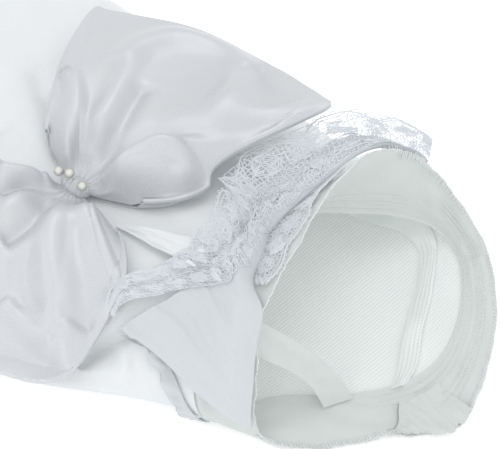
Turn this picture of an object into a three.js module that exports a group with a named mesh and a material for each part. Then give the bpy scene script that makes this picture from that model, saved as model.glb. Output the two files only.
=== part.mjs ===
import * as THREE from "three";
import { mergeVertices } from "three/addons/utils/BufferGeometryUtils.js";

// Fingerless bridal glove, lying on its palm side. Millimetres, +Z up, +X from the arm to the hand opening.

// Cloth and the clearances between pieces
const SATIN_WALL = 1.2;
const SHEER_WALL = 1.0;
const LACE_WALL = 1.0;
const SEAM_GAP = 0.75;
const LAY_GAP = 0.4;
const FOLD_GAP = 0.6;
const FREE_GAP = 1.2;

// Glove tube
const ARM_REACH = 110;
const ARM_WIDTH = 104;
const ARM_HEIGHT = 25;
const BODY_WIDTH = 113;
const BODY_HEIGHT = 20;
const BODY_WIDEST_SHARE = 0.34;

// Hand opening
const MOUTH_REACH = 56;
const MOUTH_SLANT = 55;
const MOUTH_WIDTH = 81;
const MOUTH_RISE = 36;
const MOUTH_SHIFT = 12;
const BAND_DEPTH = 18;

// Thumb strap
const STRAP_SAG = 4;

// Turned-back frill and its lace
const FLOUNCE_DEPTH = 22;
const FLOUNCE_LIFT = 2.2;
const FLOUNCE_ROLL = 4;
const FLOUNCE_ROLL_SHARE = 0.18;
const LACE_WIDTH = 9;
const LACE_START = 0.001;
const LACE_TURN = 8;
const LACE_BACK = 0.82;
const LACE_HOLE_SHARE = 0.6;
const LACE_SCALLOP = 0.16;
const LACE_FOLD = { sewn: 0.48, free: 0.37, wide: 0.07, inner: 0.12 };
const MOUTH_LACE_WIDTH = 4.4;
const MOUTH_LACE = { from: 138, to: 110 };

// Bow
const WING_REACH = 68;
const WING_PUFF = 8;
const WING_RISE = 36;
const WING_SIDE_PUFF = 0.45;
const WING_SIDE_SHARE = 0.15;
const WING_START_SHARE = 0.25;
const WING_PUFF_SKEW = 0.7;
const WING_ROW_SKEW = 0.8;
const KNOT_SHIFT = -8;
const KNOT_LENGTH = 11;
const KNOT_WIDTH = 6.5;
const KNOT_HEIGHT = 6;
const KNOT_FLATNESS = 0.6;
const FRILL_COVER = 5;
const PEARL_DIAMETER = 3;
const TAIL_START = 13;
const TAIL_LENGTH = 24;
const TAIL_WIDTH = 9;
const TAIL_POINT = 0.15;
const TAIL_SHIFT = -9;
const TAIL_DRIFT = 2;

// Facets
const AROUND = 40;
const ALONG_BODY = 17;
const ALONG_BAND = 5;
const WING_COLUMNS = 20;
const WING_ROWS = 11;
const FLOUNCE_COLUMNS = 26;
const FLOUNCE_ROWS = 7;
const STRAP_ROWS = 9;
const LACE_CELLS = 36;
const LACE_ROWS = 2;
const CELLS_IN_SCALLOP = 3;
const LACE_FOLD_CELLS = 6;
const MOUTH_LACE_CELLS = 12;
const PEARL_SIDES = 12;
const PEARL_RINGS = 7;
const KNOT_SIDES = 16;
const KNOT_RINGS = 10;
const TAIL_ROWS = 7;

// Reach of the neighbours that give a surface its normal: degrees round and millimetres along
const NORMAL_TURN = 4;
const NORMAL_RUN = 4;
const HALVINGS = 14;

// Sections of the tube. along: share of the way to the seam. width, height: shares of the body's sizes.
// arm: share of the arm opening's own sizes. shift: share of the mouth's shift.
// mouth: share of the seam loop.
const SECTIONS = [
  { along: 0.0, arm: 1.0, width: 1.0, height: 1.0, shift: 0.1, mouth: 0.0 },
  { along: 0.14, arm: 0.6, width: 0.99, height: 1.04, shift: 0.15, mouth: 0.0 },
  { along: 0.34, arm: 0.0, width: 1.0, height: 1.0, shift: 0.2, mouth: 0.0 },
  { along: 0.6, arm: 0.0, width: 1.0, height: 1.0, shift: 0.1, mouth: 0.0 },
  { along: 0.76, arm: 0.0, width: 0.99, height: 1.03, shift: 0.15, mouth: 0.1 },
  { along: 0.88, arm: 0.0, width: 0.95, height: 1.1, shift: 0.4, mouth: 0.5 },
  { along: 1.0, arm: 0.0, width: 0.9, height: 1.2, shift: 1.0, mouth: 1.0 },
];

// Mouth, by the turn round it: 0 is the far side, 90 the top, 180 the near side, 270 the palm.
// reach, across, rise: the rim's place as shares of the mouth's slant, half width and rise.
// back, inward, down: the way from the rim to the band's seam, as shares of the band's depth.
const MOUTH = [
  { turn: 0, reach: 0.62, across: 0.9, rise: 0.29, back: -0.25, inward: -0.28, down: -0.19 },
  { turn: 25, reach: 0.39, across: 1.0, rise: 0.5, back: -0.11, inward: -0.28, down: -0.45 },
  { turn: 50, reach: 0.18, across: 0.98, rise: 0.74, back: 0.05, inward: -0.45, down: -0.76 },
  { turn: 75, reach: 0.045, across: 0.77, rise: 0.92, back: -0.03, inward: -0.45, down: -0.94 },
  { turn: 100, reach: 0.02, across: 0.36, rise: 1.0, back: -0.42, inward: -0.42, down: -0.64 },
  { turn: 125, reach: 0.105, across: -0.23, rise: 0.98, back: -0.83, inward: -0.25, down: -0.47 },
  { turn: 150, reach: 0.165, across: -0.64, rise: 0.86, back: -0.83, inward: -0.17, down: -0.36 },
  { turn: 178, reach: 0.26, across: -0.87, rise: 0.5, back: -0.78, inward: -0.38, down: -0.3 },
  { turn: 203, reach: 0.35, across: -0.99, rise: 0.08, back: -0.72, inward: -0.22, down: -0.03 },
  { turn: 228, reach: 0.57, across: -0.82, rise: 0.0, back: -0.9, inward: 0.28, down: 0.0 },
  { turn: 255, reach: 0.79, across: -0.48, rise: 0.0, back: -0.86, inward: 0.11, down: 0.0 },
  { turn: 285, reach: 0.99, across: -0.2, rise: 0.0, back: -0.93, inward: 0.12, down: 0.0 },
  { turn: 312, reach: 0.985, across: 0.1, rise: 0.02, back: -0.72, inward: 0.1, down: 0.0 },
  { turn: 338, reach: 0.84, across: 0.58, rise: 0.15, back: -0.42, inward: -0.28, down: -0.03 },
];

// Main dents and creases of the tube. along: share of the way to the seam. turn: degrees round.
// slope: degrees of turn that the crease climbs over the whole length. deep: millimetres.
// long: share of the way. wide: degrees.
const CREASES = [
  { along: 0.2, turn: 62, slope: 60, deep: 1.6, long: 0.16, wide: 13 },
  { along: 0.36, turn: 100, slope: -90, deep: 1.4, long: 0.12, wide: 14 },
  { along: 0.3, turn: 138, slope: 80, deep: 1.4, long: 0.15, wide: 12 },
  { along: 0.86, turn: 166, slope: -150, deep: 1.7, long: 0.08, wide: 10 },
];

// Frill, a row for each place along it. base, edge: turns round the mouth where the row starts and ends.
// band: share of the band where it starts. back: how far behind the seam its free edge lies, as a share of
// the frill's depth. roll: share of the roll over its sewn edge. free: how far it leaves the glove and goes
// its own way, climb degrees up and aim degrees from +X. lace: share of the lace's width kept there.
const FRILL = [
  { base: 197, band: 0.97, edge: 163.5, back: 0.6, roll: 0.1, free: 0, climb: 0, aim: 180, lace: 0.5 },
  { base: 186, band: 0.98, edge: 157.5, back: 0.38, roll: 0.35, free: 0, climb: 0, aim: 180, lace: 0.7 },
  { base: 173, band: 1.0, edge: 150, back: 0.2, roll: 0.7, free: 0, climb: 0, aim: 180, lace: 0.9 },
  { base: 161, band: 1.04, edge: 142, back: 0.07, roll: 1, free: 0, climb: 0, aim: 180, lace: 1 },
  { base: 150, band: 1.04, edge: 134, back: 0.0, roll: 1, free: 0, climb: 0, aim: 180, lace: 1 },
  { base: 139, band: 0.68, edge: 123, back: 0.0, roll: 1, free: 0, climb: 0, aim: 180, lace: 1 },
  { base: 127, band: 0.58, edge: 112, back: 0.12, roll: 0.8, free: 0, climb: 0, aim: 180, lace: 1 },
  { base: 117, band: 0.42, edge: 106, back: 0.34, roll: 0.6, free: 0.15, climb: 0, aim: 180, lace: 1 },
  { base: 106, band: 0.5, edge: 98, back: 0.5, roll: 0.4, free: 0.7, climb: -6, aim: 166, lace: 0.9 },
  { base: 93, band: 0.88, edge: 88, back: 0.4, roll: 0.3, free: 1, climb: -8, aim: 150, lace: 0.9 },
  { base: 68, band: 0.95, edge: 66, back: 0.08, roll: 0.2, free: 1, climb: 16, aim: 140, lace: 0.72 },
  { base: 46, band: 0.95, edge: 45, back: 0.03, roll: 0.1, free: 1, climb: 25, aim: 117, lace: 0.62 },
];
const FRILL_ROWS = FRILL.map((row, index) => ({ along: index / (FRILL.length - 1), ...row }));

// Pearls on the knot. along, across: in pearl diameters from its middle. high: share of its height there.
const PEARLS = [
  { along: -1.43, across: -0.39, high: 0.86 },
  { along: -0.4, across: -0.17, high: 1.0 },
  { along: 1.28, across: -0.48, high: 0.9 },
];

// Loops of the bow, a row for each ray from the knot. angle: degrees from +X. reach: share of the wing's
// reach. rise: height of the loop's outer fold as a share of the wing's rise. cover: share of the room that
// is left for the frill below.
const RIGHT_WING = [
  { angle: 19, reach: 0.3, rise: 0.63, cover: 0.3 },
  { angle: 24, reach: 0.45, rise: 0.7, cover: 0.6 },
  { angle: 34, reach: 0.53, rise: 0.79, cover: 0.9 },
  { angle: 40, reach: 0.62, rise: 0.85, cover: 1 },
  { angle: 45, reach: 0.755, rise: 0.88, cover: 1 },
  { angle: 48.5, reach: 0.91, rise: 0.905, cover: 1 },
  { angle: 53, reach: 0.99, rise: 0.93, cover: 1 },
  { angle: 63, reach: 0.935, rise: 0.88, cover: 0.8 },
  { angle: 79, reach: 0.88, rise: 0.79, cover: 0.2 },
  { angle: 99, reach: 0.86, rise: 0.75, cover: 0.1 },
  { angle: 113, reach: 0.845, rise: 0.74, cover: 0.1 },
  { angle: 125.5, reach: 0.87, rise: 0.71, cover: 0.1 },
  { angle: 133, reach: 0.68, rise: 0.71, cover: 0.1 },
  { angle: 142, reach: 0.45, rise: 0.7, cover: 0.1 },
  { angle: 154, reach: 0.28, rise: 0.68, cover: 0.1 },
];
const LEFT_WING = [
  { angle: 195, reach: 0.32, rise: 0.63, cover: 0.1 },
  { angle: 205, reach: 0.45, rise: 0.63, cover: 0.1 },
  { angle: 215, reach: 0.57, rise: 0.6, cover: 0.1 },
  { angle: 225, reach: 0.77, rise: 0.52, cover: 0.1 },
  { angle: 233, reach: 0.97, rise: 0.42, cover: 0.1 },
  { angle: 245, reach: 0.9, rise: 0.33, cover: 0.1 },
  { angle: 260, reach: 0.84, rise: 0.27, cover: 0.1 },
  { angle: 275, reach: 0.79, rise: 0.23, cover: 0.1 },
  { angle: 288, reach: 0.76, rise: 0.21, cover: 0.1 },
  { angle: 303, reach: 0.768, rise: 0.23, cover: 0.1 },
  { angle: 309, reach: 0.73, rise: 0.33, cover: 0.1 },
  { angle: 319, reach: 0.62, rise: 0.49, cover: 0.1 },
  { angle: 325, reach: 0.56, rise: 0.55, cover: 0.1 },
  { angle: 332, reach: 0.5, rise: 0.6, cover: 0.1 },
  { angle: 337, reach: 0.42, rise: 0.65, cover: 0.1 },
  { angle: 344, reach: 0.3, rise: 0.65, cover: 0.1 },
];

// Folds that run out from the knot. from, to: degrees at the knot and at the outer fold.
// wide: degrees. high: share of the puff, below zero for a valley.
const RIGHT_FOLDS = [
  { from: 52, to: 36, wide: 11, high: 0.35 },
  { from: 72, to: 56, wide: 8, high: -0.6 },
  { from: 108, to: 92, wide: 12, high: 0.5 },
  { from: 130, to: 132, wide: 8, high: -0.5 },
  { from: 146, to: 146, wide: 8, high: 0.3 },
];
const LEFT_FOLDS = [
  { from: 214, to: 212, wide: 8, high: 0.3 },
  { from: 228, to: 230, wide: 7, high: -0.5 },
  { from: 262, to: 284, wide: 13, high: 0.5 },
  { from: 308, to: 306, wide: 8, high: -0.55 },
  { from: 324, to: 330, wide: 9, high: 0.3 },
];

// Corners of the thumb strap on the band. turn: degrees round the mouth.
// band: share of the way from the seam to the rim.
const STRAP = {
  startLow: { turn: 167, band: 0.75 },
  startHigh: { turn: 152, band: 0.75 },
  stopLow: { turn: 243, band: 0.22 },
  stopHigh: { turn: 259, band: 0.03 },
};

const clamp = THREE.MathUtils.clamp;
const lerp = THREE.MathUtils.lerp;
const radians = THREE.MathUtils.degToRad;

function smooth(from, to, value) {
  return THREE.MathUtils.smoothstep(value, from, to);
}

function bump(offset, width) {
  return Math.exp(-((offset / width) ** 2));
}

// Smooth reading of one column of a table at a key
function readTable(table, key, column, at, period = 0) {
  const last = table.length - 1;
  const row = (index) => {
    if (!period) {
      const kept = clamp(index, 0, last);
      return { key: table[kept][key], value: table[kept][column] };
    }
    const turns = Math.floor(index / table.length);
    const kept = index - turns * table.length;
    return { key: table[kept][key] + turns * period, value: table[kept][column] };
  };
  const held = clamp(at, table[0][key], table[last][key]);
  const wanted = period ? THREE.MathUtils.euclideanModulo(at, period) : held;
  let index = period ? -1 : 0;
  const end = period ? last : last - 1;
  while (index < end && row(index + 1).key <= wanted) {
    index += 1;
  }
  const before = row(index - 1);
  const start = row(index);
  const stop = row(index + 1);
  const after = row(index + 2);
  const span = stop.key - start.key;
  const share = (wanted - start.key) / span;
  const slopeIn = (stop.value - before.value) / Math.max(stop.key - before.key, span) * span;
  const slopeOut = (after.value - start.value) / Math.max(after.key - start.key, span) * span;
  const square = share * share;
  const cube = square * share;
  return (2 * cube - 3 * square + 1) * start.value + (cube - 2 * square + share) * slopeIn
    + (3 * square - 2 * cube) * stop.value + (cube - square) * slopeOut;
}

function rimPoint(turn) {
  const read = (column) => readTable(MOUTH, "turn", column, turn, 360);
  return new THREE.Vector3(
    MOUTH_REACH + MOUTH_SLANT * read("reach"),
    MOUTH_SHIFT + 0.5 * MOUTH_WIDTH * read("across"),
    Math.max(0, MOUTH_RISE * read("rise")),
  );
}

function seamPoint(turn) {
  const read = (column) => BAND_DEPTH * readTable(MOUTH, "turn", column, turn, 360);
  const place = rimPoint(turn).add(new THREE.Vector3(read("back"), read("inward"), read("down")));
  place.z = Math.max(0, place.z);
  return place;
}

// Outside of the tube at a turn and a share of the way from the arm opening to the seam
function tubePoint(turn, along) {
  const read = (column) => readTable(SECTIONS, "along", column, along);
  const halfWidth = 0.5 * lerp(BODY_WIDTH * read("width"), ARM_WIDTH, read("arm"));
  const height = lerp(BODY_HEIGHT * read("height"), ARM_HEIGHT, read("arm"));
  const side = Math.cos(radians(turn));
  const up = Math.sin(radians(turn));
  const widest = BODY_WIDEST_SHARE * height;
  const seam = seamPoint(turn);
  const mouth = read("mouth");
  const sideZ = up >= 0 ? widest + (height - widest) * up : widest * Math.max(0, 1 + 2 * up) ** 2;
  const place = new THREE.Vector3(
    lerp(-ARM_REACH, seam.x, along),
    lerp(MOUTH_SHIFT * read("shift") + halfWidth * side, seam.y, mouth),
    lerp(sideZ, seam.z, mouth),
  );
  for (const crease of CREASES) {
    const climbed = crease.turn + crease.slope * (along - crease.along);
    place.z -= crease.deep * bump(along - crease.along, crease.long) * bump(turn - climbed, crease.wide);
  }
  return place;
}

// Outside of the band at a turn and a share of the way from the seam to the rim
function bandPoint(turn, share) {
  return seamPoint(turn).lerp(rimPoint(turn), share);
}

function bandLength(turn) {
  return seamPoint(turn).distanceTo(rimPoint(turn));
}

// Outside of the whole glove at a turn and a run in millimetres: above zero out over the band,
// below zero back from the seam over the tube
function skinPoint(turn, run) {
  if (run > 0) {
    return bandPoint(turn, run / bandLength(turn));
  }
  return tubePoint(turn, 1 + run / (seamPoint(turn).x + ARM_REACH));
}

// Point at a height over the skin, along a normal taken wide enough to pass smoothly over the seam
function liftedSkin(turn, run, lift) {
  const around = skinPoint(turn + NORMAL_TURN, run).sub(skinPoint(turn - NORMAL_TURN, run));
  const along = skinPoint(turn, run + NORMAL_RUN).sub(skinPoint(turn, run - NORMAL_RUN));
  return skinPoint(turn, run).addScaledVector(around.cross(along).normalize(), lift);
}

// Height of the top of the tube over a place on the surface that the glove lies on
function tubeTop(x, y) {
  let near = 176;
  let far = 4;
  const at = (turn) => tubePoint(turn, clamp((x + ARM_REACH) / (seamPoint(turn).x + ARM_REACH), 0, 1));
  for (let step = 0; step < HALVINGS; step += 1) {
    const middle = 0.5 * (near + far);
    if (at(middle).y > y) {
      far = middle;
    } else {
      near = middle;
    }
  }
  return at(near).z;
}

// Unit normals of a grid of points, by its own neighbours
function gridNormals(grid, wraps) {
  const rows = grid.length;
  const columns = grid[0].length;
  return grid.map((line, row) => line.map((_, column) => {
    const before = wraps ? (column + columns - 1) % columns : Math.max(0, column - 1);
    const after = wraps ? (column + 1) % columns : Math.min(columns - 1, column + 1);
    const across = new THREE.Vector3().subVectors(line[after], line[before]);
    const low = grid[Math.max(0, row - 1)][column];
    const high = grid[Math.min(rows - 1, row + 1)][column];
    return across.cross(new THREE.Vector3().subVectors(high, low)).normalize();
  }));
}

// Solid of cloth between a face and a back of equal grids, closed along every open edge
function clothBetween(face, back, wraps) {
  const rows = face.length;
  const columns = face[0].length;
  const positions = [];
  for (const grid of [face, back]) {
    for (const line of grid) {
      for (const place of line) {
        positions.push(place.x, place.y, place.z);
      }
    }
  }
  const triangles = [];
  const quad = (a, b, c, d) => triangles.push(a, b, c, a, c, d);
  const front = (row, column) => row * columns + (column % columns);
  const rear = (row, column) => rows * columns + front(row, column);
  const spans = wraps ? columns : columns - 1;
  for (let row = 0; row < rows - 1; row += 1) {
    for (let column = 0; column < spans; column += 1) {
      const [next, over] = [row + 1, column + 1];
      quad(front(row, column), front(row, over), front(next, over), front(next, column));
      quad(rear(row, column), rear(next, column), rear(next, over), rear(row, over));
    }
  }
  const end = rows - 1;
  for (let column = 0; column < spans; column += 1) {
    const over = column + 1;
    quad(front(0, over), front(0, column), rear(0, column), rear(0, over));
    quad(front(end, column), front(end, over), rear(end, over), rear(end, column));
  }
  if (!wraps) {
    const edge = columns - 1;
    for (let row = 0; row < end; row += 1) {
      quad(front(row, 0), front(row + 1, 0), rear(row + 1, 0), rear(row, 0));
      quad(front(row + 1, edge), front(row, edge), rear(row, edge), rear(row + 1, edge));
    }
  }
  return facingOut(positions, triangles);
}

// Geometry of a closed mesh, with its triangles turned to face out
function facingOut(positions, triangles) {
  let volume = 0;
  const corner = (index) => new THREE.Vector3().fromArray(positions, 3 * index);
  for (let index = 0; index < triangles.length; index += 3) {
    const first = corner(triangles[index]);
    volume += first.dot(corner(triangles[index + 1]).cross(corner(triangles[index + 2])));
  }
  if (volume < 0) {
    triangles.reverse();
  }
  const geometry = new THREE.BufferGeometry();
  geometry.setAttribute("position", new THREE.Float32BufferAttribute(positions, 3));
  geometry.setIndex(triangles);
  geometry.computeVertexNormals();
  return geometry;
}

function makeGrid(rows, columns, place) {
  return Array.from({ length: rows }, (_, row) => (
    Array.from({ length: columns }, (__, column) => place(row, column))
  ));
}

// Cloth of one wall thickness under a grid of its outer points
function clothUnder(face, wall, wraps) {
  const normals = gridNormals(face, wraps);
  const back = face.map((line, row) => line.map((place, column) => (
    place.clone().addScaledVector(normals[row][column], -wall)
  )));
  return clothBetween(face, back, wraps);
}

// Cloth of one wall thickness about a grid of its middle
function clothAbout(middle, wall) {
  const normals = gridNormals(middle, false);
  const moved = (share) => middle.map((line, row) => line.map((place, column) => (
    place.clone().addScaledVector(normals[row][column], share * wall)
  )));
  return clothBetween(moved(-0.5), moved(0.5), false);
}

function satin(colour, roughness) {
  return new THREE.MeshStandardMaterial({ color: colour, roughness, metalness: 0, side: THREE.FrontSide });
}

function named(name, geometry, material) {
  const mesh = new THREE.Mesh(geometry, material);
  mesh.name = name;
  return mesh;
}

// Tube, open at the arm and at the seam
function gloveBody() {
  const face = makeGrid(ALONG_BODY, AROUND, (row, column) => (
    tubePoint(360 * column / AROUND, row / (ALONG_BODY - 1))
  ));
  return named("glove_body", clothUnder(face, SATIN_WALL, true), satin(0xeef0f1, 0.5));
}

// Sheer ring from the seam to the rim
function mouthBand() {
  const face = makeGrid(ALONG_BAND, AROUND, (row, column) => {
    const turn = 360 * column / AROUND;
    const start = SEAM_GAP / bandLength(turn);
    return bandPoint(turn, lerp(start, 1, row / (ALONG_BAND - 1)));
  });
  return named("mouth_band", clothUnder(face, SHEER_WALL, true), satin(0xe9ecec, 0.6));
}

// Strip across the hand opening, from inside the near rim down to the palm side of the seam
function thumbStrap() {
  const inside = -(SHEER_WALL + LAY_GAP + 0.5 * SHEER_WALL);
  const corner = (end) => liftedSkin(end.turn, end.band * bandLength(end.turn), inside);
  const middle = makeGrid(STRAP_ROWS, 3, (row, column) => {
    const share = row / (STRAP_ROWS - 1);
    const side = 0.5 * column;
    const start = corner(STRAP.startLow).lerp(corner(STRAP.startHigh), side);
    const stop = corner(STRAP.stopLow).lerp(corner(STRAP.stopHigh), side);
    const place = start.lerp(stop, share);
    place.z -= STRAP_SAG * Math.sin(Math.PI * share) * (1 - share);
    return place;
  });
  return named("thumb_strap", clothAbout(middle, SHEER_WALL), satin(0xe9ecec, 0.6));
}

// Frill at a share along it and a share from its sewn edge to its free edge.
// beyond: share of the lace's width past that edge. lift: millimetres over its underside.
function frillPoint(along, share, beyond, lift) {
  const read = (column) => readTable(FRILL_ROWS, "along", column, along);
  const turn = lerp(read("base"), read("edge"), share);
  const start = read("band") * bandLength(read("base"));
  const depth = FLOUNCE_DEPTH * read("back");
  const lace = beyond > 0 ? SEAM_GAP + LACE_WIDTH * read("lace") * beyond : 0;
  const rolled = (share / FLOUNCE_ROLL_SHARE) * Math.exp(1 - share / FLOUNCE_ROLL_SHARE);
  const lying = lerp(LAY_GAP, FLOUNCE_LIFT, smooth(0, FLOUNCE_ROLL_SHARE, share));
  const rise = FLOUNCE_ROLL * read("roll") * rolled + lift;
  const laidTurn = turn - LACE_TURN * beyond;
  const laid = liftedSkin(laidTurn, lerp(start, -depth, share) - LACE_BACK * lace, lying + rise);
  const climb = radians(read("climb"));
  const aim = radians(read("aim"));
  const length = depth * share + lace;
  const loose = liftedSkin(turn, start, FREE_GAP);
  const out = length * Math.cos(climb) - rise * Math.sin(climb);
  loose.x += out * Math.cos(aim);
  loose.y += out * Math.sin(aim);
  loose.z += length * Math.sin(climb) + rise * Math.cos(climb);
  return laid.lerp(loose, clamp(read("free"), 0, 1));
}

function flounce() {
  const grid = (lift) => makeGrid(FLOUNCE_ROWS, FLOUNCE_COLUMNS, (row, column) => (
    frillPoint(column / (FLOUNCE_COLUMNS - 1), row / (FLOUNCE_ROWS - 1), 0, lift)
  ));
  return named("flounce", clothBetween(grid(SHEER_WALL), grid(0), false), satin(0xe6eaee, 0.55));
}

// Solid of net: a strip of cells, each with a hole through it. place: point at shares along and across,
// and a lift.
function netStrip(cells, rows, place) {
  const positions = [];
  const triangles = [];
  const add = (along, across, lift) => {
    const point = place(along / cells, across / rows, lift);
    positions.push(point.x, point.y, point.z);
    return positions.length / 3 - 1;
  };
  const corners = [LACE_WALL, 0].map((lift) => makeGrid(cells + 1, rows + 1, (along, across) => (
    add(along, across, lift)
  )));
  const quad = (a, b, c, d) => triangles.push(a, b, c, a, c, d);
  const rim = 0.5 * (1 - LACE_HOLE_SHARE);
  for (let along = 0; along < cells; along += 1) {
    for (let across = 0; across < rows; across += 1) {
      const ring = [[0, 0], [1, 0], [1, 1], [0, 1]];
      const outer = corners.map((grid) => ring.map(([a, b]) => grid[along + a][across + b]));
      const hole = [LACE_WALL, 0].map((lift) => ring.map(([a, b]) => (
        add(along + lerp(rim, 1 - rim, a), across + lerp(rim, 1 - rim, b), lift)
      )));
      for (let side = 0; side < 4; side += 1) {
        const next = (side + 1) % 4;
        quad(outer[0][side], outer[0][next], hole[0][next], hole[0][side]);
        quad(outer[1][next], outer[1][side], hole[1][side], hole[1][next]);
        quad(hole[0][side], hole[0][next], hole[1][next], hole[1][side]);
      }
    }
  }
  const [top, under] = corners;
  for (let along = 0; along < cells; along += 1) {
    quad(top[along + 1][0], top[along][0], under[along][0], under[along + 1][0]);
    quad(top[along][rows], top[along + 1][rows], under[along + 1][rows], under[along][rows]);
  }
  for (let across = 0; across < rows; across += 1) {
    quad(top[0][across], top[0][across + 1], under[0][across + 1], under[0][across]);
    quad(top[cells][across + 1], top[cells][across], under[cells][across], under[cells][across + 1]);
  }
  return facingOut(positions, triangles);
}

// Lace along the frill's free edge, with a scalloped outer edge
function laceEdging() {
  const geometry = netStrip(LACE_CELLS, LACE_ROWS, (along, across, lift) => {
    const wave = Math.abs(Math.sin(Math.PI * LACE_CELLS * along / CELLS_IN_SCALLOP));
    return frillPoint(along, 1, Math.max(LACE_START, across * (1 + LACE_SCALLOP * wave)), lift);
  });
  return named("lace_edging", geometry, satin(0xf0f2f2, 0.8));
}

// Lace that folds back across the frill to its rolled edge
function laceFold() {
  const geometry = netStrip(LACE_FOLD_CELLS, LACE_ROWS, (along, across, lift) => {
    const middle = lerp(LACE_FOLD.sewn, LACE_FOLD.free, along);
    const place = middle + LACE_FOLD.wide * (across - 0.5);
    return frillPoint(place, lerp(LACE_FOLD.inner, 1, along), 0, SHEER_WALL + FOLD_GAP + lift);
  });
  return named("lace_edging_fold", geometry, satin(0xf0f2f2, 0.8));
}

// Lace along the upper left edge of the hand opening
function laceMouth() {
  const geometry = netStrip(MOUTH_LACE_CELLS, LACE_ROWS, (along, across, lift) => {
    const turn = lerp(MOUTH_LACE.from, MOUTH_LACE.to, along);
    const run = bandLength(turn) - SEAM_GAP - MOUTH_LACE_WIDTH * (1 - across);
    return liftedSkin(turn, run, LAY_GAP + lift);
  });
  return named("lace_edging_mouth", geometry, satin(0xf0f2f2, 0.8));
}

const KNOT_REST = tubeTop(0, KNOT_SHIFT) + LAY_GAP;

// Distance from the middle of the knot to its side at an angle
function knotRadius(angle) {
  const across = Math.cos(radians(angle)) / (0.5 * KNOT_LENGTH);
  const along = Math.sin(radians(angle)) / (0.5 * KNOT_WIDTH);
  return 1 / Math.hypot(across, along);
}

// Heights of the two layers of a loop, at an angle and a share of the way out to its outer fold
function wingPlace(rows, folds, angle, share) {
  const read = (column) => readTable(rows, "angle", column, angle);
  const inner = knotRadius(angle) + LAY_GAP;
  const radius = lerp(inner, WING_REACH * read("reach"), share);
  const x = radius * Math.cos(radians(angle));
  const y = KNOT_SHIFT + radius * Math.sin(radians(angle));
  const foldZ = WING_RISE * read("rise");
  const halfFold = SATIN_WALL + 0.5 * LAY_GAP;
  let pleats = 1;
  for (const fold of folds) {
    const middle = lerp(fold.from, fold.to, share);
    pleats += fold.high * bump(angle - middle, fold.wide);
  }
  const sides = (angle - rows[0].angle) / (rows[rows.length - 1].angle - rows[0].angle);
  const closing = lerp(WING_SIDE_PUFF, 1, smooth(0, WING_SIDE_SHARE, sides) * smooth(0, WING_SIDE_SHARE, 1 - sides));
  const swell = Math.sin(Math.PI * share ** WING_PUFF_SKEW) * smooth(0, WING_START_SHARE, share);
  const puff = WING_PUFF * closing * pleats * swell;
  const cover = LAY_GAP + FRILL_COVER * read("cover") * share;
  const line = lerp(KNOT_REST, foldZ - halfFold, share);
  const lower = Math.max(tubeTop(x, y) + cover, line);
  const crest = lerp(KNOT_REST + 2 * halfFold, foldZ + halfFold, share) + puff;
  const upper = Math.max(lower + 2 * halfFold, crest);
  return { x, y, lower, upper };
}

// One loop of the bow: an upper layer out to the fold and a lower layer back, in one wall
function bowWing(name, rows, folds) {
  const first = rows[0].angle;
  const last = rows[rows.length - 1].angle;
  const steps = WING_ROWS - 1;
  const grids = [0, SATIN_WALL].map((inset) => makeGrid(2 * WING_ROWS, WING_COLUMNS, (row, column) => {
    const angle = lerp(first, last, column / (WING_COLUMNS - 1));
    const onTop = row <= steps;
    const walked = onTop ? row / steps : (2 * WING_ROWS - 1 - row) / steps;
    const end = 1 - inset / WING_REACH;
    const share = Math.min(Math.sin(0.5 * Math.PI * walked ** WING_ROW_SKEW), end);
    const place = wingPlace(rows, folds, angle, share);
    const height = onTop ? place.upper - inset : place.lower + inset;
    return new THREE.Vector3(place.x, place.y, height);
  }));
  return named(name, clothBetween(grids[0], grids[1], false), satin(0xe4e8ee, 0.3));
}

// Drawn-in middle of the bow: a rounded lump with flattened top and foot
function bowKnot() {
  const geometry = new THREE.SphereGeometry(1, KNOT_SIDES, KNOT_RINGS);
  const places = geometry.getAttribute("position");
  for (let index = 0; index < places.count; index += 1) {
    const flat = (value) => Math.sign(value) * Math.abs(value) ** KNOT_FLATNESS;
    places.setXYZ(
      index,
      0.5 * KNOT_LENGTH * places.getX(index),
      0.5 * KNOT_WIDTH * places.getZ(index),
      0.5 * KNOT_HEIGHT * flat(places.getY(index)),
    );
  }
  const knot = named("bow_knot", solidOf(geometry), satin(0xdfe3e8, 0.35));
  knot.position.set(0, KNOT_SHIFT, KNOT_REST + 0.5 * KNOT_HEIGHT);
  return knot;
}

// Geometry with equal corners joined, and its triangles turned to face out
function solidOf(geometry) {
  geometry.deleteAttribute("normal");
  geometry.deleteAttribute("uv");
  const merged = mergeVertices(geometry);
  return facingOut(Array.from(merged.getAttribute("position").array), Array.from(merged.getIndex().array));
}

function pearls() {
  return PEARLS.map((pearl, index) => {
    const ball = new THREE.SphereGeometry(0.5 * PEARL_DIAMETER, PEARL_SIDES, PEARL_RINGS);
    const mesh = named(`pearl_${index + 1}`, solidOf(ball), satin(0xf4f2ec, 0.2));
    const top = KNOT_REST + KNOT_HEIGHT * pearl.high;
    mesh.position.set(
      PEARL_DIAMETER * pearl.along,
      KNOT_SHIFT + PEARL_DIAMETER * pearl.across,
      top + LAY_GAP + 0.5 * PEARL_DIAMETER,
    );
    return mesh;
  });
}

// Pointed satin tab that comes out below the bow and lies on the glove
function bowTail() {
  const grid = (lift) => makeGrid(TAIL_ROWS, 3, (row, column) => {
    const share = row / (TAIL_ROWS - 1);
    const x = TAIL_START + TAIL_LENGTH * share;
    const width = TAIL_WIDTH * lerp(TAIL_POINT, 1, share);
    const y = TAIL_SHIFT + TAIL_DRIFT * share + 0.5 * width * (column - 1);
    return new THREE.Vector3(x, y, tubeTop(x, y) + LAY_GAP + lift);
  });
  return named("bow_tail", clothBetween(grid(SATIN_WALL), grid(0), false), satin(0xeef0f1, 0.4));
}

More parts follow.
